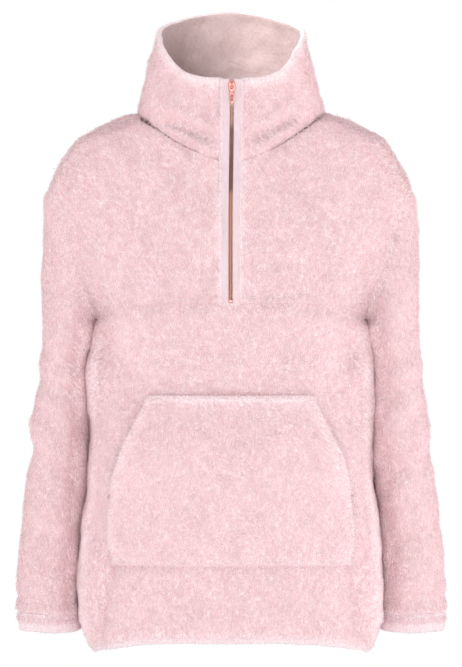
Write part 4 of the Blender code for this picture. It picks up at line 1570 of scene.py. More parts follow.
@dataclass
class Body:
    """The torso's four panels: two upper fronts beside the zip, the lower front and the back."""

    tailor: Tailor
    armhole: Armhole
    steps: tuple[int, int] = (4, 3)
    back_share: float = 0.85
    hem_share: float = 0.42
    hem_reach: float = 0.012
    ridge: float = 0.0016
    pocket_groove: float = 0.0048
    pocket_pile: float = 0.65
    seam_flare: tuple[float, float, float] = (0.0, -2.4, 0.0)
    flare_reach: float = 0.008
    pucker: Ripple = Ripple(0.018, 31)

    def __post_init__(self) -> None:
        """Works out the coarse grids, which other pieces use as well."""
        cut = self.tailor.cut
        self.lower_front = cut.lower_half(True)
        self.lower_back = cut.lower_half(False)
        self.upper_front = cut.upper_half(self.lower_front[-1][1:], True)
        self.upper_back = cut.upper_half(self.lower_back[-1], False)

    @staticmethod
    def _join(pile: Array, shared: Array, reach: Array) -> Array:
        """The pile's height, led over to the armhole's own within about 2 cm."""
        near = bell(reach, 0.012)
        return pile * (1 - near) + shared[:, None] * near

    def _chest_ridge(self, grid: Array, reach: Array) -> Array:
        """The puckered chest seam: the cloth swells on both sides and dips at the stitches.

        Args:
            grid: rows by columns by coordinates.
            reach: ways from the chest seam.

        Returns:
            How far each point rises.
        """
        toward_middle = 1 - ease(np.abs(grid[..., 0]), 0.07, 0.15)
        swell = self.ridge * (1 + 0.45 * self.pucker.height(grid)) * bell(reach - 0.0045, 0.0045)
        return (swell - 0.0022 * bell(reach, 0.0014)) * toward_middle

    def uppers(self) -> None:
        """Both upper fronts."""
        cut, seams = self.tailor.cut, self.tailor.seams
        smooth_grid = finer(self.upper_front, self.steps)
        arrows = cut.torso.outward(smooth_grid)
        smooth_grid[:, -1], arrows[:, -1], shared = self.armhole.half(True)
        for side in Side:
            grid, out = smooth_grid * side.turn, arrows * side.turn
            reach = reaches(grid)
            pile = self.tailor.coat.full_height * seams.turned(reach[Border.START])
            pile = self._join(pile, shared, reach[Border.END])
            grid = cut.shift_to_zip(cut.folded(grid, out))
            rise = self._chest_ridge(grid, reach[Border.BOTTOM])
            rise -= seams.tuck(reach[Border.TOP]) * 0.4 + seams.tuck(reach[Border.END]) * 0.5
            points = grid + out * rise[..., None]
            panel = Panel(f"front_upper_{side.word}", points, out, pile, cut.wall)
            self.tailor.sew(panel, 100 + int(side.value), (0.247, 0.245), 0.0436)

    def front_lower(self) -> None:
        """The lower front, bare under the pocket."""
        cut, seams = self.tailor.cut, self.tailor.seams
        grid = finer(cut.whole(self.lower_front), self.steps)
        out = cut.torso.outward(grid)
        reach = reaches(grid)
        pile = self.tailor.coat.full_height * self._hem(reach[Border.BOTTOM])
        half = smooth(grid[..., 2], *cut.edge_line())
        inside = ease(half - np.abs(grid[..., 0]), 0.016, 0.024)
        inside = inside * ease(grid[..., 2], -0.552, -0.546) * ease(-grid[..., 2], 0.358, 0.366)
        pile *= 1 - 0.7 * inside
        grid = cut.folded(grid, out)
        rise = self._chest_ridge(grid, reach[Border.TOP])
        beside = np.abs(grid[..., 0]) - half
        low_high = ease(grid[..., 2], -0.556, -0.545) * ease(-grid[..., 2], 0.340, 0.352)
        rise -= self.pocket_groove * bell(beside - 0.002, 0.0042) * low_high
        rise -= 0.6 * (seams.tuck(reach[Border.START]) + seams.tuck(reach[Border.END]))
        panel = Panel("front_lower", grid + out * rise[..., None], out, pile, cut.wall)
        pile *= self._beside_sleeve(grid) * (
            1 - self.pocket_pile * bell(beside - 0.001, 0.0045) * low_high
        )
        mask = 1 - inside[:-1, :-1]
        self.tailor.sew(panel, 110, (0.520, 0.445), 0.208, mask)

    def _beside_sleeve(self, grid: Array) -> Array:
        """Share of the pile's height where the body's side is pressed by the sleeve."""
        share = np.abs(grid[..., 0]) / self.tailor.cut.torso.half_width(grid[..., 2])
        return 1 - 0.50 * ease(share, 0.93, 0.985) * ease(-grid[..., 2], 0.24, 0.28)

    def _hem(self, reach: Array) -> Array:
        """Share of the pile's height near the hem, where the binding draws it in."""
        return self.hem_share + (1 - self.hem_share) * ease(reach, 0.001, self.hem_reach)

    def back(self) -> None:
        """The back, in one piece from the hem to the neck."""
        cut, seams = self.tailor.cut, self.tailor.seams
        half = np.concatenate([self.lower_back, self.upper_back[1:]])
        grid = finer(cut.whole(half), self.steps)
        out = cut.torso.outward(grid)
        points, arrows, shared = self.armhole.half(False)
        upper = slice(-len(points), None)
        for column, side in ((0, Side.RIGHT), (-1, Side.LEFT)):
            grid[upper, column] = points * side.turn
            out[upper, column] = arrows * side.turn
        reach = reaches(grid)
        pile = self.tailor.coat.full_height * self._hem(reach[Border.BOTTOM])
        pile = pile * self._beside_sleeve(grid)
        ends = np.minimum(reach[Border.START], reach[Border.END])
        pile[upper] = self._join(pile[upper], shared, ends[upper])
        grid = cut.folded(grid, out)
        rise = -0.5 * (seams.tuck(reach[Border.START]) + seams.tuck(reach[Border.END]))
        rise -= seams.tuck(reach[Border.TOP]) * 0.4
        panel = Panel("back", grid + out * rise[..., None], out, pile, cut.wall)
        lying_over = bell(reach[Border.TOP], self.flare_reach)[..., None]
        panel.flare = np.array(self.seam_flare) * lying_over
        mask = np.full((grid.shape[0] - 1, grid.shape[1] - 1), self.back_share)
        self.tailor.sew(panel, 120, (0.520, 0.715), 0.318, mask)


@dataclass
class Sleeves:
    """Both sleeves: rings from the armhole down to the cuff, each a tilted rounded oval.

    Columns of rings: height outside, height inside, outer and inner reach, centre and half depth
    in Y, in tenths of a millimetre.
    """

    tailor: Tailor
    count: int = 25
    blend: float = 4.5
    squareness: float = 2.25
    steps: tuple[int, int] = (3, 4)
    pressed: float = 0.50
    cuff_drop: float = 0.0225
    cuff_inset: float = 0.002
    band_wall: float = 0.003
    rings: Rows = (
        (-920, -2580, 2345, 1710, 0, 660), (-1220, -2640, 2418, 1755, 10, 685),
        (-1580, -2700, 2426, 1760, 30, 700), (-1980, -2770, 2426, 1765, 50, 710),
        (-2400, -2860, 2428, 1775, 70, 710), (-2850, -2990, 2440, 1795, 100, 700),
        (-3270, -3270, 2495, 1808, 130, 690), (-3600, -3600, 2522, 1812, 150, 675),
        (-4000, -4000, 2586, 1812, 170, 655), (-4400, -4400, 2608, 1825, 180, 630),
        (-4800, -4800, 2665, 1860, 190, 600), (-5200, -5200, 2708, 1902, 200, 570),
        (-5600, -5600, 2752, 1935, 210, 540), (-6000, -6000, 2792, 1947, 220, 500),
        (-6240, -6240, 2795, 1947, 220, 475), (-6360, -6360, 2765, 1945, 220, 440),
    )

    def _grid(self) -> Array:
        """Rings of the left sleeve; each is an oval to a power, and the first is the armhole.

        Returns:
            Rings by points by coordinates.
        """
        front, back = self.tailor.cut.armhole()
        loop = np.concatenate([front, back[-2:0:-1]])
        turn = 2 * math.pi * np.arange(len(loop)) / len(loop)
        along, aside = squared(turn, 2 / self.squareness).T
        aside[[0, len(loop) // 2]] = 0.0
        rings = np.array(self.rings).T / TENTHS
        row = np.arange(len(self.rings), dtype=float)
        at = np.linspace(0.0, row[-1], self.count + 1)
        table = np.stack([smooth(at, row, column) for column in rings], axis=1)
        high, low, outer, inner, centre_y, half_y = (table[:, k, None] for k in range(6))
        zero = 0 * high
        middle = np.stack([(outer + inner) / 2, centre_y, (high + low) / 2], axis=-1)
        arm = np.stack([inner - outer, zero, low - high], axis=-1) / 2
        grid = middle + along[None, :, None] * arm
        grid[..., 1] -= aside * half_y
        share = np.clip(1 - at / self.blend, 0.0, 1.0) ** 1.5
        return grid + (loop - grid[0]) * share[:, None, None]

    def _form(self) -> tuple[Array, Array]:
        """Fine rings of the left sleeve and their arrows, which lean to the torso's at the armhole.

        Returns:
            The grid and its arrows.
        """
        grid = finer(self._grid(), self.steps, closed=True)
        arrows = arrows_of(grid, True)
        arrows[0] = unit(arrows[0] + self.tailor.cut.torso.outward(grid[0]))
        return grid, arrows

    def _height(self, arrows: Array) -> Array:
        """The left sleeve's pile height: short where its inner side is pressed to the body."""
        return self.tailor.coat.full_height * (1 - self.pressed * ease(-arrows[..., 0], 0.70, 0.94))

    def armhole(self) -> Armhole:
        """The left sleeve's first ring, for the torso's panels."""
        grid, arrows = self._form()
        return Armhole(grid[0], arrows[0], self._height(arrows[0]))

    def build(self) -> None:
        """Sleeves and cuffs of both sides."""
        cut, seams = self.tailor.cut, self.tailor.seams
        smooth_grid, arrows = self._form()
        height = self._height(arrows)
        for side in Side:
            grid, out = smooth_grid * side.turn, arrows * side.turn
            top, end = reach_from(grid, Border.BOTTOM), reach_from(grid, Border.TOP)
            pile = height * (0.45 + 0.55 * ease(end, 0.001, 0.011))
            bare = cut.folded(grid, out)
            rise = -seams.tuck(top) * 0.5 - 0.001 * bell(end, 0.004)
            points = bare + out * rise[..., None]
            panel = Panel(f"sleeve_{side.word}", points, out, pile, cut.wall, True, -1.0)
            self.tailor.sew(panel, 130 + int(side.value), (0.352, 0.560), 0.178)
            self._cuff(side, bare[-1], out[-1])

    def _cuff(self, side: Side, end: Array, out: Array) -> None:
        """The smooth band that ends a sleeve, slightly full between its edges.

        Args:
            side: the wearer's side.
            end: the sleeve's last ring.
            out: that ring's arrows.
        """
        level = unit(out * np.array([1.0, 1.0, 0.0]))
        down = np.linspace(0.0, 1.0, 9)[:, None, None]
        first = end - level * self.cuff_inset
        grid = first + down * np.array([0.0, 0.0, -self.cuff_drop])
        swell = 0.0009 * np.sin(math.pi * down) ** 0.7
        fluted = 0.0004 * np.sin(np.arange(grid.shape[1]) * 2 * math.pi / 5)[None, :, None]
        arrows = np.broadcast_to(level, grid.shape)
        over = 0.0026 * (1 - ease(down, 0.30, 0.52))
        nap = np.broadcast_to(self.tailor.coat.band_height + over[..., 0], grid.shape[:2])
        points = grid + arrows * (swell + fluted + over)
        wall = np.broadcast_to(self.band_wall + over[..., 0], grid.shape[:2])
        panel = Panel(f"cuff_{side.word}", points, arrows, nap, wall, True, -1.0)
        self.tailor.bind(panel, 160 + int(side.value), (0.232, 0.0225), [f"sleeve_{side.word}_cloth"])


@dataclass
class Collar:
    """Funnel collar: straight ribs from the neckline up to a slanting rim.

    Columns of rim: turn from the centre front in degrees, height.
    """

    tailor: Tailor
    body: Body
    wall: float = 0.0065
    rows: int = 8
    half_width: float = 0.0965
    front: float = 0.0980
    back: float = 0.0830
    steps: tuple[int, int] = (4, 6)
    smooth_band: float = 0.012
    rim: Array = field(default_factory=lambda: np.array([
        (0.0, 0.0450), (29.0, 0.0496), (48.0, 0.0642), (61.0, 0.0840), (90.0, 0.1070),
        (112.0, 0.1170), (135.0, 0.1245), (158.0, 0.1320), (180.0, 0.1357),
    ]))

    def grid(self) -> Array:
        """Coarse rings from the neckline up; columns run from the zip round to the zip.

        Returns:
            Rows by columns by coordinates.
        """
        cut = self.tailor.cut
        front_neck, back_neck = cut.neckline(True), cut.neckline(False)
        half = np.concatenate([front_neck, back_neck[-2::-1]])
        base = np.concatenate([half, half[-2::-1] * Side.RIGHT.turn])
        deep = np.where(base[:, 1] < 0, -front_neck[0, 1], back_neck[0, 1])
        reach = cut.torso.half_width(cut.neck_side_z)
        turn = np.arctan2(np.abs(base[:, 0]) / reach, -base[:, 1] / deep)
        x = np.sign(base[:, 0]) * self.half_width * np.sin(turn)
        x[[0, -1]] = cut.tape_reach, -cut.tape_reach
        y = -np.where(turn < math.pi / 2, self.front, self.back) * np.cos(turn)
        z = smooth(np.degrees(turn), self.rim[:, 0], self.rim[:, 1])
        rim = np.stack([x, y, z], axis=1)
        rise = np.linspace(0.0, 1.0, self.rows + 1)[:, None, None]
        return base + (rim - base) * rise

    def build(self) -> None:
        """The collar, with a smooth band under its rim and turned edges beside the zip."""
        cut, seams, coat = self.tailor.cut, self.tailor.seams, self.tailor.coat
        grid = finer(self.grid(), self.steps)
        out = arrows_of(grid, False)
        for column in (0, -1):
            out[:, column, 0] = 0.0
            out[:, column] = unit(out[:, column])
        reach = reaches(grid)
        pile = seams.turned(reach[Border.START]) * seams.turned(reach[Border.END])
        pile *= 0.35 + 0.65 * ease(reach[Border.TOP], 0.002, self.smooth_band)
        points = cut.shift_to_zip(cut.folded(grid, out))
        rise = -0.4 * seams.tuck(reach[Border.BOTTOM])
        rise = rise - 0.0012 * (1 - ease(reach[Border.TOP], 0.002, self.smooth_band))
        upwards = np.array([0.0, 0.0, 1.0]) * bell(reach[Border.TOP], 0.005)[..., None]
        panel = Panel("collar", points + out * rise[..., None], out, coat.full_height * pile, self.wall)
        panel.flare = 2.0 * upwards
        self.tailor.sew(panel, 140, (0.600, 0.130), 0.0640, rests_on=["back_cloth"])


@dataclass
class Pocket:
    """Kangaroo pocket: the lower front's own surface, moved out, with slanting open sides."""

    tailor: Tailor
    body: Body
    first_row: int = 3
    last_row: int = 11
    opening_end_z: float = -0.4754
    gape: float = 0.0120
    fullness: float = 0.0120
    roundness: float = 0.8
    edge_power: float = 3.0
    steps: tuple[int, int] = (6, 5)
    stitch_in: float = 0.011
    stitch_depth: float = 0.0013
    tack_stitches: int = 7
    tack_step: float = 0.0011
    tack_half: float = 0.0030
    tack_thick: float = 0.0006
    tack_lift: float = 0.0010
    tack_below: float = 0.0040
    tack_inward: float = 0.0015

    def build(self) -> None:
        """The pocket and its two bar tacks."""
        tailor = self.tailor
        cut, coat = tailor.cut, tailor.coat
        front = cut.whole(self.body.lower_front)
        centre = front.shape[1] // 2
        reach = cut.pocket_columns + 1
        base = front[self.first_row : self.last_row + 1, centre - reach : centre + reach + 1]
        base = finer(base, self.steps)
        z = base[:, base.shape[1] // 2, 2]
        top, bottom = z[-1], z[0]
        up = np.clip((z - bottom) / (top - bottom), 0, 1)
        open_share = np.clip((z - self.opening_end_z) / (top - self.opening_end_z), 0, 1)
        across = np.abs(np.linspace(-1, 1, base.shape[1]))
        middle = 1 - across ** self.edge_power
        stand = self.fullness * np.sin(math.pi * up)[:, None] ** self.roundness * middle
        stand = stand + self.gape * np.sin(math.pi * open_share)[:, None] * (1 - middle)
        out = cut.torso.outward(base)
        grid = cut.folded(base, out) + out * (cut.seam_gap + stand + cut.wall)[..., None]
        ways = reaches(base)
        sides = np.minimum(ways[Border.START], ways[Border.END])
        edges = np.minimum(sides, ways[Border.TOP])
        stitches = bell(edges - self.stitch_in, 0.0016) + bell(ways[Border.BOTTOM] - 0.010, 0.0016)
        swell = 0.0009 * bell(ways[Border.BOTTOM] - 0.004, 0.004)
        swell = swell * (1 + 0.5 * self.body.pucker.height(grid))
        pile = coat.full_height * (0.70 + 0.30 * ease(edges, 0.001, 0.012))
        pile *= 1 - 0.35 * np.clip(stitches, 0, 1)
        rise = swell - self.stitch_depth * stitches - 0.0010 * bell(ways[Border.BOTTOM], 0.0016)
        panel = Panel("pocket", grid + out * rise[..., None], out, pile, cut.wall)
        sideways = bell(ways[Border.END], 0.005) - bell(ways[Border.START], 0.005)
        upwards = bell(ways[Border.TOP], 0.005)
        panel.flare = 2.2 * np.stack([sideways, 0 * sideways, upwards], axis=-1)
        tailor.sew(panel, 150, (0.318, 0.222), 0.0610, rests_on=["front_lower_cloth"])
        row = int(np.argmin(np.abs(z - self.opening_end_z)))
        for side, column in ((Side.RIGHT, 0), (Side.LEFT, -1)):
            self._tack(side, panel.points[row, column], out[row, column])

    def _tack(self, side: Side, spot: Array, out: Array) -> None:
        """A bar tack: close short stitches over the end of the pocket's mouth.

        Args:
            side: the wearer's side.
            spot: the end of the mouth.
            out: the arrow out of the pocket there.
        """
        across = unit(np.cross(out, np.array([0.0, 0.0, 1.0])))
        up = unit(np.cross(across, out))
        turn = around_circle(6)
        ring = np.cos(turn)[:, None] * out + np.sin(turn)[:, None] * up
        x = self.tack_half * np.array([-1.0, -0.9, 0.0, 0.9, 1.0])[:, None, None]
        thick = self.tack_thick * np.array([0.3, 0.9, 1.0, 0.9, 0.3])[:, None, None]
        lift = self.tack_lift * np.array([-1.0, 0.4, 1.0, 0.4, -1.0])[:, None, None]
        corner = spot - out * self.tack_below
        parts = []
        for number in range(self.tack_stitches):
            step = self.tack_step * (number - self.tack_stitches // 2)
            middle = corner + up * step - across * side.value * self.tack_inward
            parts.append(loft(middle + x * across + lift * out + thick * ring))
        name = f"bartack_{side.word}"
        mesh = mesh_of(name, *joined(parts))
        self.tailor.hand_over(place(name, mesh, [self.tailor.looks.thread]), "fleece")


@dataclass
class HemBand:
    """Flat binding below the hem, round the whole body."""

    tailor: Tailor
    body: Body
    drop: float = 0.0078
    inset: float = 0.002
    wall: float = 0.003
    steps: int = 6

    def build(self) -> None:
        """The band: the hem's own line, led down the torso's form and slightly full."""
        cut = self.tailor.cut
        front, back = cut.whole(self.body.lower_front), cut.whole(self.body.lower_back)
        loop = refine(np.concatenate([front[0], back[0][-2:0:-1]])[None], self.steps, 1, True)[0]
        ratio = np.clip(loop[:, 0] / cut.torso.half_width(loop[:, 2]), -1, 1)
        faces_front = loop[:, 1] < 0
        down = np.linspace(0.0, 1.0, 7)[:, None]
        z = loop[:, 2] - down * self.drop
        ratio = np.broadcast_to(ratio, z.shape)
        front, back = (cut.torso.at(ratio, z, at_front) for at_front in (True, False))
        grid = np.where(faces_front[..., None], front, back)
        out = cut.torso.outward(grid)
        swell = 0.0007 * np.sin(math.pi * down) ** 0.7
        grid = cut.folded(grid, out) + out * (swell - self.inset)[..., None]
        nap = np.full(grid.shape[:2], self.tailor.coat.band_height)
        panel = Panel("hem_band", grid, out, nap, self.wall, True, -1.0)
        self.tailor.bind(panel, 170, (1.04, 0.0100), ["front_lower_cloth", "back_cloth"])


@dataclass
class Zip:
    """The half zip: two woven tapes, interlocked metal teeth, stops, slider and pull tab."""

    tailor: Tailor
    body: Body
    collar: Collar
    tape_depth: float = 0.0030
    tape_wall: float = 0.0014
    chain_half: float = 0.0030
    chain_wall: float = 0.0032
    pitch: float = 0.00268
    slider_z: float = 0.0300
    slider_length: float = 0.0135
    slider_width: float = 0.0094
    plate: float = 0.0011
    bail_centre: float = 0.28
    bail_half: float = 0.0030
    bail_thick: float = 0.00055
    bail_broad: float = 0.0011
    bail_flare: float = 0.0004
    post_at: float = 0.31
    tab_length: float = 0.0235
    tab_width: float = 0.0066
    tab_wall: float = 0.0014
    tab_clearance: float = 0.0005
    chain_in_slider: float = 0.55

    def __post_init__(self) -> None:
        """The zip's line at the tips of the pile: its points and outward arrows by height."""
        cut = self.tailor.cut
        collar = self.collar.grid()
        flat = np.array([0.0, 1.0, 1.0])
        upper = self.body.upper_front[:, 0] * flat
        upper_out = cut.torso.outward(self.body.upper_front)[:, 0] * flat
        column = collar[:, 0] * flat
        rise = unit(column[-1] - column[0])
        collar_out = np.array([0.0, -rise[2], rise[1]])
        points = np.concatenate([upper, column[1:]])
        straight = np.repeat(collar_out[None], len(column) - 1, axis=0)
        arrows = np.concatenate([upper_out[:-1], [upper_out[-1] + collar_out], straight])
        self.line = points, unit(arrows)

    def at(self, z: Array) -> tuple[Array, Array]:
        """Points and outward arrows of the zip's line at given heights.

        Args:
            z: heights.

        Returns:
            A point and an arrow for each height.
        """
        points, arrows = self.line
        z = np.atleast_1d(z)
        y, out_y, out_z = (
            smooth(z, points[:, 2], row) for row in (points[:, 1], arrows[:, 1], arrows[:, 2])
        )
        out = np.stack([0 * z, out_y, out_z], axis=1)
        return np.stack([self.tailor.cut.zip_centre(z), y, z], axis=1), unit(out)

    @property
    def bottom(self) -> float:
        """Height of the zip's lower end."""
        return float(self.line[0][0, 2]) + self.tailor.cut.seam_gap

    @property
    def top(self) -> float:
        """Height of the collar's rim at the zip."""
        return float(self.line[0][-1, 2])

    def tapes(self) -> None:
        """Two woven tapes with a cord along the teeth and a slightly raised weave edge."""
        z = np.linspace(self.bottom - 0.002, self.top, 110)
        points, out = self.at(z)
        x = np.linspace(self.chain_half - 0.0004, self.tailor.cut.tape_reach + 0.0030, 15)
        cord = 0.0007 * bell(x - self.chain_half - 0.0006, 0.0008)
        sag = -0.0004 * bell(x - 0.0095, 0.003)
        for side in Side:
            lift = cord + sag
            grid = points[:, None] + out[:, None] * (lift - self.tape_depth)[None, :, None]
            grid[..., 0] += x * side.value
            grid = grid if side is Side.LEFT else grid[:, ::-1]
            arrows = np.broadcast_to(out[:, None], grid.shape)
            nap = np.full(grid.shape[:2], 0.0001)
            panel = Panel(f"zip_tape_{side.word}", grid, arrows, nap, self.tape_wall)
            tape = panel.shell([self.tailor.looks.tape, self.tailor.looks.tape])
            self.tailor.hand_over(tape, "zip_tape", panel.name)

    def _frame_at(self, z: Array) -> Skin:
        """Centre of the chain, its outward arrow and its upward one.

        Args:
            z: heights.

        Returns:
            A point and two arrows for each height.
        """
        points, out = self.at(z)
        centre = points - out * (self.tape_depth + self.tape_wall / 2)
        up = unit(np.cross(X_AXIS, out))
        up = up * np.sign(up[:, 2:3])
        return centre, out, up

    def teeth(self) -> None:
        """Teeth of both sides, half a pitch apart: each is a rounded bar with a narrow head."""
        low = self.bottom + 0.0054
        high = self.slider_z + self.slider_length * self.chain_in_slider - 0.001
        outline = squared(around_circle(8), 0.85)
        x = np.array([-0.0006, -0.0003, 0.0006, 0.0010, 0.0022, 0.0030])
        tall = np.array([0.22, 0.44, 0.50, 0.40, 0.46, 0.34]) * self.pitch / 2
        deep = np.array([0.55, 0.85, 1.0, 1.0, 1.0, 0.80]) * self.chain_wall / 2
        for side in Side:
            z = np.arange(low + (self.pitch / 2 if side is Side.LEFT else 0.0), high, self.pitch)
            centre, out, up = self._frame_at(z)
            aside = (x * side.value)[None, :, None, None] * X_AXIS
            rings = centre[:, None, None] + aside
            rings = rings + up[:, None, None] * (tall[:, None] * outline[:, 0])[None, ..., None]
            rings = rings + out[:, None, None] * (deep[:, None] * outline[:, 1])[None, ..., None]
            points, quads, tris = loft(rings[0])
            size = len(points)
            every = np.concatenate([loft(ring)[0] for ring in rings])
            step = (np.arange(len(rings)) * size)[:, None, None]
            quads, tris = (step + quads).reshape(-1, 4), (step + tris).reshape(-1, 3)
            if side is Side.RIGHT:
                quads, tris = quads[:, ::-1], tris[:, ::-1]
            name = f"zip_teeth_{side.word}"
            mesh = mesh_of(name, every, quads, tris)
            piece = place(name, mesh, [self.tailor.looks.chain])
            self.tailor.hand_over(piece, "rose_gold", "zip_chain")

    def _solid(
        self, name: str, parts: Sequence[tuple[Array, ...]], place_at: tuple[Array, ...]
    ) -> Piece:
        """Lofted parts in the slider's own frame, put where the slider is, as one mesh.

        Args:
            name: the piece's name.
            parts: points, quads and triangles of each part.
            place_at: the frame's centre and its three axes.

        Returns:
            The piece.
        """
        centre, *axes = place_at
        placed = [(centre + points @ np.stack(axes), quads, tris) for points, quads, tris in parts]
        piece = place(name, mesh_of(name, *joined(placed)), [self.tailor.looks.metal])
        self._outwards(piece)
        return piece

    @staticmethod
    def _outwards(piece: Piece) -> None:
        """Turns the faces of closed lofted parts outwards.

        Args:
            piece: a piece of closed parts.
        """
        work = bmesh.new()
        work.from_mesh(piece.data)
        bmesh.ops.recalc_face_normals(work, faces=work.faces)
        work.to_mesh(piece.data)
        work.free()

    def _outline(self) -> Array:
        """The slider plate's outline in X and Z, as shares of half its width and length.

        Returns:
            Points in X and Z, in metres.
        """
        right = np.array([
            (0.70, -1.0), (0.82, -0.80), (0.93, -0.40), (1.0, 0.0), (1.0, 0.34), (0.92, 0.62),
            (0.76, 0.84), (0.48, 0.97),
        ])
        left = right[::-1] * np.array([-1.0, 1.0])
        return np.concatenate([right, left]) * np.array([self.slider_width, self.slider_length]) / 2

    def slider(self) -> None:
        """Slider body with two crowned plates, a post between them and an arched bail."""
        middle = np.array([self.slider_z + self.slider_length / 2])
        centre, out, up = (arrows[0] for arrows in self._frame_at(middle))
        here = centre, X_AXIS, out, up
        face = self.chain_wall / 2 + self.tailor.cut.seam_gap
        outline = self._outline()
        shares = np.array([0.93, 1.0, 1.0, 0.95, 0.80, 0.45])
        levels = np.array([0.0, 0.2, 0.55, 0.85, 1.0, 1.12])

        def crowned(sign: float) -> tuple[Array, ...]:
            """One plate, whose outline draws in towards its outer face.

            Args:
                sign: 1 for the outer plate, -1 for the inner one.

            Returns:
                Points, quads and triangles.
            """
            rings = np.zeros((len(shares), len(outline), 3))
            rings[..., 0] = outline[:, 0] * shares[:, None]
            rings[..., 2] = outline[:, 1] * shares[:, None]
            rings[..., 1] = sign * (face + levels * self.plate)[:, None]
            return loft(rings)

        turn = around_circle(12)
        disc = np.stack([np.cos(turn), 0 * turn, np.sin(turn)], axis=1)
        post = disc * (0.0011, 1.0, 0.0018) + (0.0, 0.0, self.slider_length * self.post_at)
        depths = np.array([-face - 0.0004, face + 0.0004])
        posts = post[None] + depths[:, None, None] * np.array([0.0, 1.0, 0.0])
        axis_out = face + self.plate + self.tab_wall / 2 + self.tab_clearance
        axis_up = self.slider_length / 2 * self.bail_centre
        under = axis_out + self.tab_wall / 2 + 0.0003
        sweep = np.linspace(0, math.pi, 15)
        path_z = axis_up - (self.bail_half - 0.0003) * np.cos(sweep)
        foot = face + self.plate * 0.6
        path_y = foot + (under + 0.0006 - face - self.plate * 0.6) * np.sin(sweep) ** 0.42
        path = np.stack([0 * sweep, path_y, path_z], axis=1)
        along = unit(np.gradient(path, axis=0))
        across = np.cross(along, X_AXIS)
        wide = self.bail_broad + self.bail_flare * np.cos(sweep) ** 2
        bail = path[:, None] + wide[:, None, None] * np.cos(turn)[None, :, None] * X_AXIS
        bail = bail + self.bail_thick * np.sin(turn)[None, :, None] * across[:, None]
        parts = [crowned(1.0), crowned(-1.0), loft(posts), loft(bail)]
        piece = self._solid("slider_body", parts, here)
        self.tailor.hand_over(piece, "rose_gold", "zip_slider")

        hinge = centre + out * axis_out + up * axis_up
        self._pull(hinge)

    def _pull(self, hinge: Array) -> None:
        """The pull tab, hung straight down from its hinge: a flat drop with two holes.

        Args:
            hinge: the middle of the bail.
        """
        half, length, wall = self.tab_width / 2, self.tab_length, self.tab_wall / 2

        def oval(centre_z: float, half_x: float, half_z: float, power: float) -> Array:
            """A squared ring of 40 points in X and Z round a height."""
            return squared(around_circle(40), power) * (half_x, half_z) + (0.0, centre_z)

        parts = []
        window = oval(-0.0024, 0.0014, 0.0016, 0.6)
        upper = oval(-0.0040, half * 0.86, 0.0047, 0.7)
        lower = oval(-length + 0.0080, half, 0.0080, 0.85)
        hole = oval(-length + 0.0078, half * 0.50, 0.0042, 0.9)
        for rim, gap in ((upper, window), (lower, hole)):
            middle = (rim + gap) / 2
            edge, outer, inner = (
                rim * 0.985 + gap * 0.015, rim * 0.86 + gap * 0.14, rim * 0.14 + gap * 0.86
            )
            lanes = [
                (edge, 0.55), (rim, 0.0), (edge, -0.55), (outer, -1.0), (middle, -1.08),
                (inner, -1.0), (gap, 0.0), (inner, 1.0), (middle, 1.08), (outer, 1.0),
            ]
            rings = np.array([
                np.stack([line[:, 0], np.full(len(line), level * wall), line[:, 1]], axis=1)
                for line, level in lanes
            ])
            parts.append(loft(rings, around=True))
        straight = np.eye(3)
        here = hinge, straight[0], -straight[1], straight[2]
        neck = oval(-0.0098, half * 0.62, 0.0036, 0.6)
        levels = np.array([-1.0, -0.5, 0.5, 1.0])
        shares = np.array([0.9, 1.0, 1.0, 0.9])
        bridge = np.zeros((4, len(neck), 3))
        bridge[..., 0] = neck[:, 0] * shares[:, None]
        bridge[..., 1] = levels[:, None] * wall * 0.96
        bridge[..., 2] = neck[:, 1]
        parts.append(loft(bridge))
        piece = self._solid("pull_tab_plate", parts, here)
        self.tailor.hand_over(piece, "rose_gold", "zip_pull", body=PULL)

    def stops(self) -> None:
        """Bottom stop across both tapes and two top stops, as rounded clips."""
        cells = [("zip_bottom_stop", self.bottom + 0.0005, self.bottom + 0.0045, 0.0, self.chain_half)]
        inner, outer = 0.0012, self.chain_half
        low, high = self.slider_z + self.slider_length + 0.0003, self.top - 0.0003
        for side in Side:
            middle = side.value * (inner + outer) / 2
            cells.append((f"zip_top_stop_{side.word}", low, high, middle, (outer - inner) / 2))
        outline = squared(around_circle(16), 0.45)
        for name, low, high, x, half in cells:
            centre, out, up = (arrows[0] for arrows in self._frame_at(np.array([(low + high) / 2])))
            tall = (high - low) / 2
            rings = np.zeros((5, len(outline), 3))
            shares = np.array([0.80, 1.0, 1.0, 0.96, 0.72])
            rings[..., 0] = x + outline[:, 0] * half * shares[:, None]
            rings[..., 2] = outline[:, 1] * tall * shares[:, None]
            rings[..., 1] = (np.array([-1.0, -0.7, 0.5, 0.85, 1.0]) * self.chain_wall / 2)[:, None]
            here = centre, X_AXIS, out, up
            piece = self._solid(name + "_clip", [loft(rings)], here)
            self.tailor.hand_over(piece, "rose_gold", name)

    def build(self) -> None:
        """Everything on the zip."""
        self.tapes()
        self.teeth()
        self.stops()
        self.slider()


# The studio


@dataclass(frozen=True)
class Lamp:
    """A soft light that stands somewhere and faces a target: a square of a size, or, where it has
    a cone in degrees, a narrow spot of that radius.  Its power is in watts."""

    name: str
    stand: Point
    size: float
    power: float
    target: Point = (0.0006, 0.0, -0.276)
    cone: float = 0.0

    def hang(self) -> None:
        """Puts the light into the scene."""
        lamp = bpy.data.lights.new(self.name, "SPOT" if self.cone else "AREA")
        lamp.energy = self.power
        if self.cone:
            lamp.spot_size = math.radians(self.cone)
            lamp.spot_blend = 1.0
            lamp.shadow_soft_size = self.size
        else:
            lamp.shape = "SQUARE"
            lamp.size = self.size
        holder = bpy.data.objects.new(self.name, lamp)
        holder.location = self.stand
        way = Vector(self.target) - Vector(self.stand)
        holder.rotation_euler = way.to_track_quat("-Z", "Y").to_euler()
        bpy.context.scene.collection.objects.link(holder)


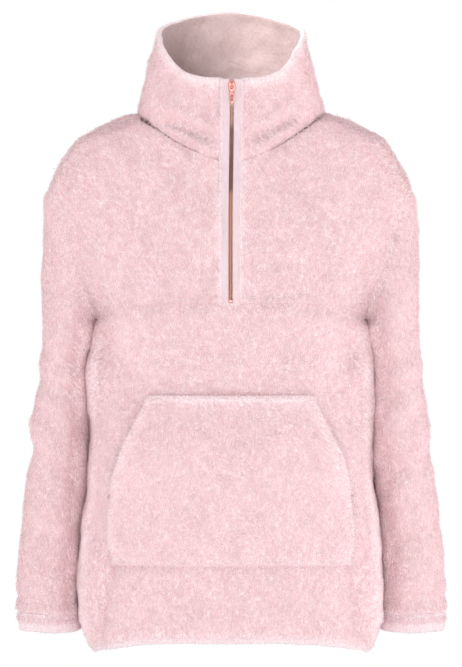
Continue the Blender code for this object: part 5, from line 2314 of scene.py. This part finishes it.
@dataclass(frozen=True)
class Studio:
    """A white room: pale floor, white walls of light, soft lights all round and the camera."""

    floor_z: float = -1.30
    floor_size: float = 5.0
    room: float = 0.615
    distance: float = 4.0
    rise: float = 3.0
    target: Point = (0.0006, 0.0, -0.276)
    lens: float = 168.7
    lamps: tuple[Lamp, ...] = (
        Lamp("key", (-2.1, -1.9, 1.7), 1.6, 17.0),
        Lamp("front", (0.0, -3.6, -0.5), 1.6, 33.5),
        Lamp("fill", (1.7, -2.2, -0.7), 1.8, 13.0),
        Lamp("neck", (-0.75, -1.05, 1.25), 0.05, 150.0, (0.055, 0.035, 0.085), 7.0),
        Lamp("back", (0.8, 3.2, 0.9), 2.2, 22.0),
        Lamp("edge_left", (-2.7, 0.1, 0.1), 1.8, 18.5),
        Lamp("edge_right", (2.7, 0.1, 0.1), 1.8, 25.9),
    )

    def _floor(self) -> None:
        """A plain pale floor, well below the hem."""
        half = self.floor_size / 2
        corners = np.array([(-half, -half), (half, -half), (half, half), (-half, half)])
        points = np.column_stack([corners, np.full(4, self.floor_z)])
        mesh = mesh_of("studio_floor", points, np.array([[0, 1, 2, 3]]), np.empty((0, 3), int))
        bench = Bench("pale_floor")
        bench.dress(Base_Color=(0.96, 0.96, 0.96), Roughness=0.9, Specular_IOR_Level=0.1)
        place("studio_floor", mesh, [bench.material])

    def _camera(self) -> None:
        """The photograph's view: straight on, slightly from above."""
        lens = bpy.data.cameras.new("view")
        lens.lens = self.lens
        camera = bpy.data.objects.new("view", lens)
        angle = math.radians(self.rise)
        back = Vector((0.0, -math.cos(angle), math.sin(angle)))
        camera.location = Vector(self.target) + back * self.distance
        camera.rotation_euler = (-back).to_track_quat("-Z", "Y").to_euler()
        bpy.context.scene.collection.objects.link(camera)
        bpy.context.scene.camera = camera

    def _room(self) -> None:
        """The world: full white to the camera, and dimmer as light."""
        world = bpy.data.worlds.new("white_room")
        world.use_nodes = True
        tree = world.node_tree
        seen = tree.nodes.new("ShaderNodeLightPath").outputs["Is Camera Ray"]
        bright = tree.nodes.new("ShaderNodeMapRange")
        bright.inputs["To Min"].default_value = self.room
        bright.inputs["To Max"].default_value = 1.0
        tree.links.new(seen, bright.inputs["Value"])
        tree.nodes["Background"].inputs["Color"].default_value = (1.0, 1.0, 1.0, 1.0)
        tree.links.new(bright.outputs["Result"], tree.nodes["Background"].inputs["Strength"])
        bpy.context.scene.world = world

    def build(self) -> None:
        """Floor, room, lights and camera."""
        self._floor()
        self._room()
        for lamp in self.lamps:
            lamp.hang()
        self._camera()
        settings = bpy.context.scene.view_settings
        settings.view_transform = "Standard"
        settings.look = "None"


def main() -> None:
    """Builds and dresses the whole garment, then the room around it."""
    logging.basicConfig(level=logging.INFO, format="%(name)s %(message)s")
    tailor = Tailor(Cut(), Coat(), Seams(), Looks.make())
    sleeves = Sleeves(tailor)
    body = Body(tailor, sleeves.armhole())
    body.uppers()
    body.front_lower()
    body.back()
    sleeves.build()
    collar = Collar(tailor, body)
    collar.build()
    Pocket(tailor, body).build()
    HemBand(tailor, body).build()
    Zip(tailor, body, collar).build()
    Studio().build()
    counts = [triangles_of(piece) for piece in tailor.made]
    log.info("%d pieces, %d triangles, the largest %d", len(counts), sum(counts), max(counts))
    if sum(counts) >= MOST_TRIANGLES or max(counts) >= MOST_IN_PIECE:
        raise ValueError("the pieces hold more triangles than they may")


if __name__ == "__main__":
    main()
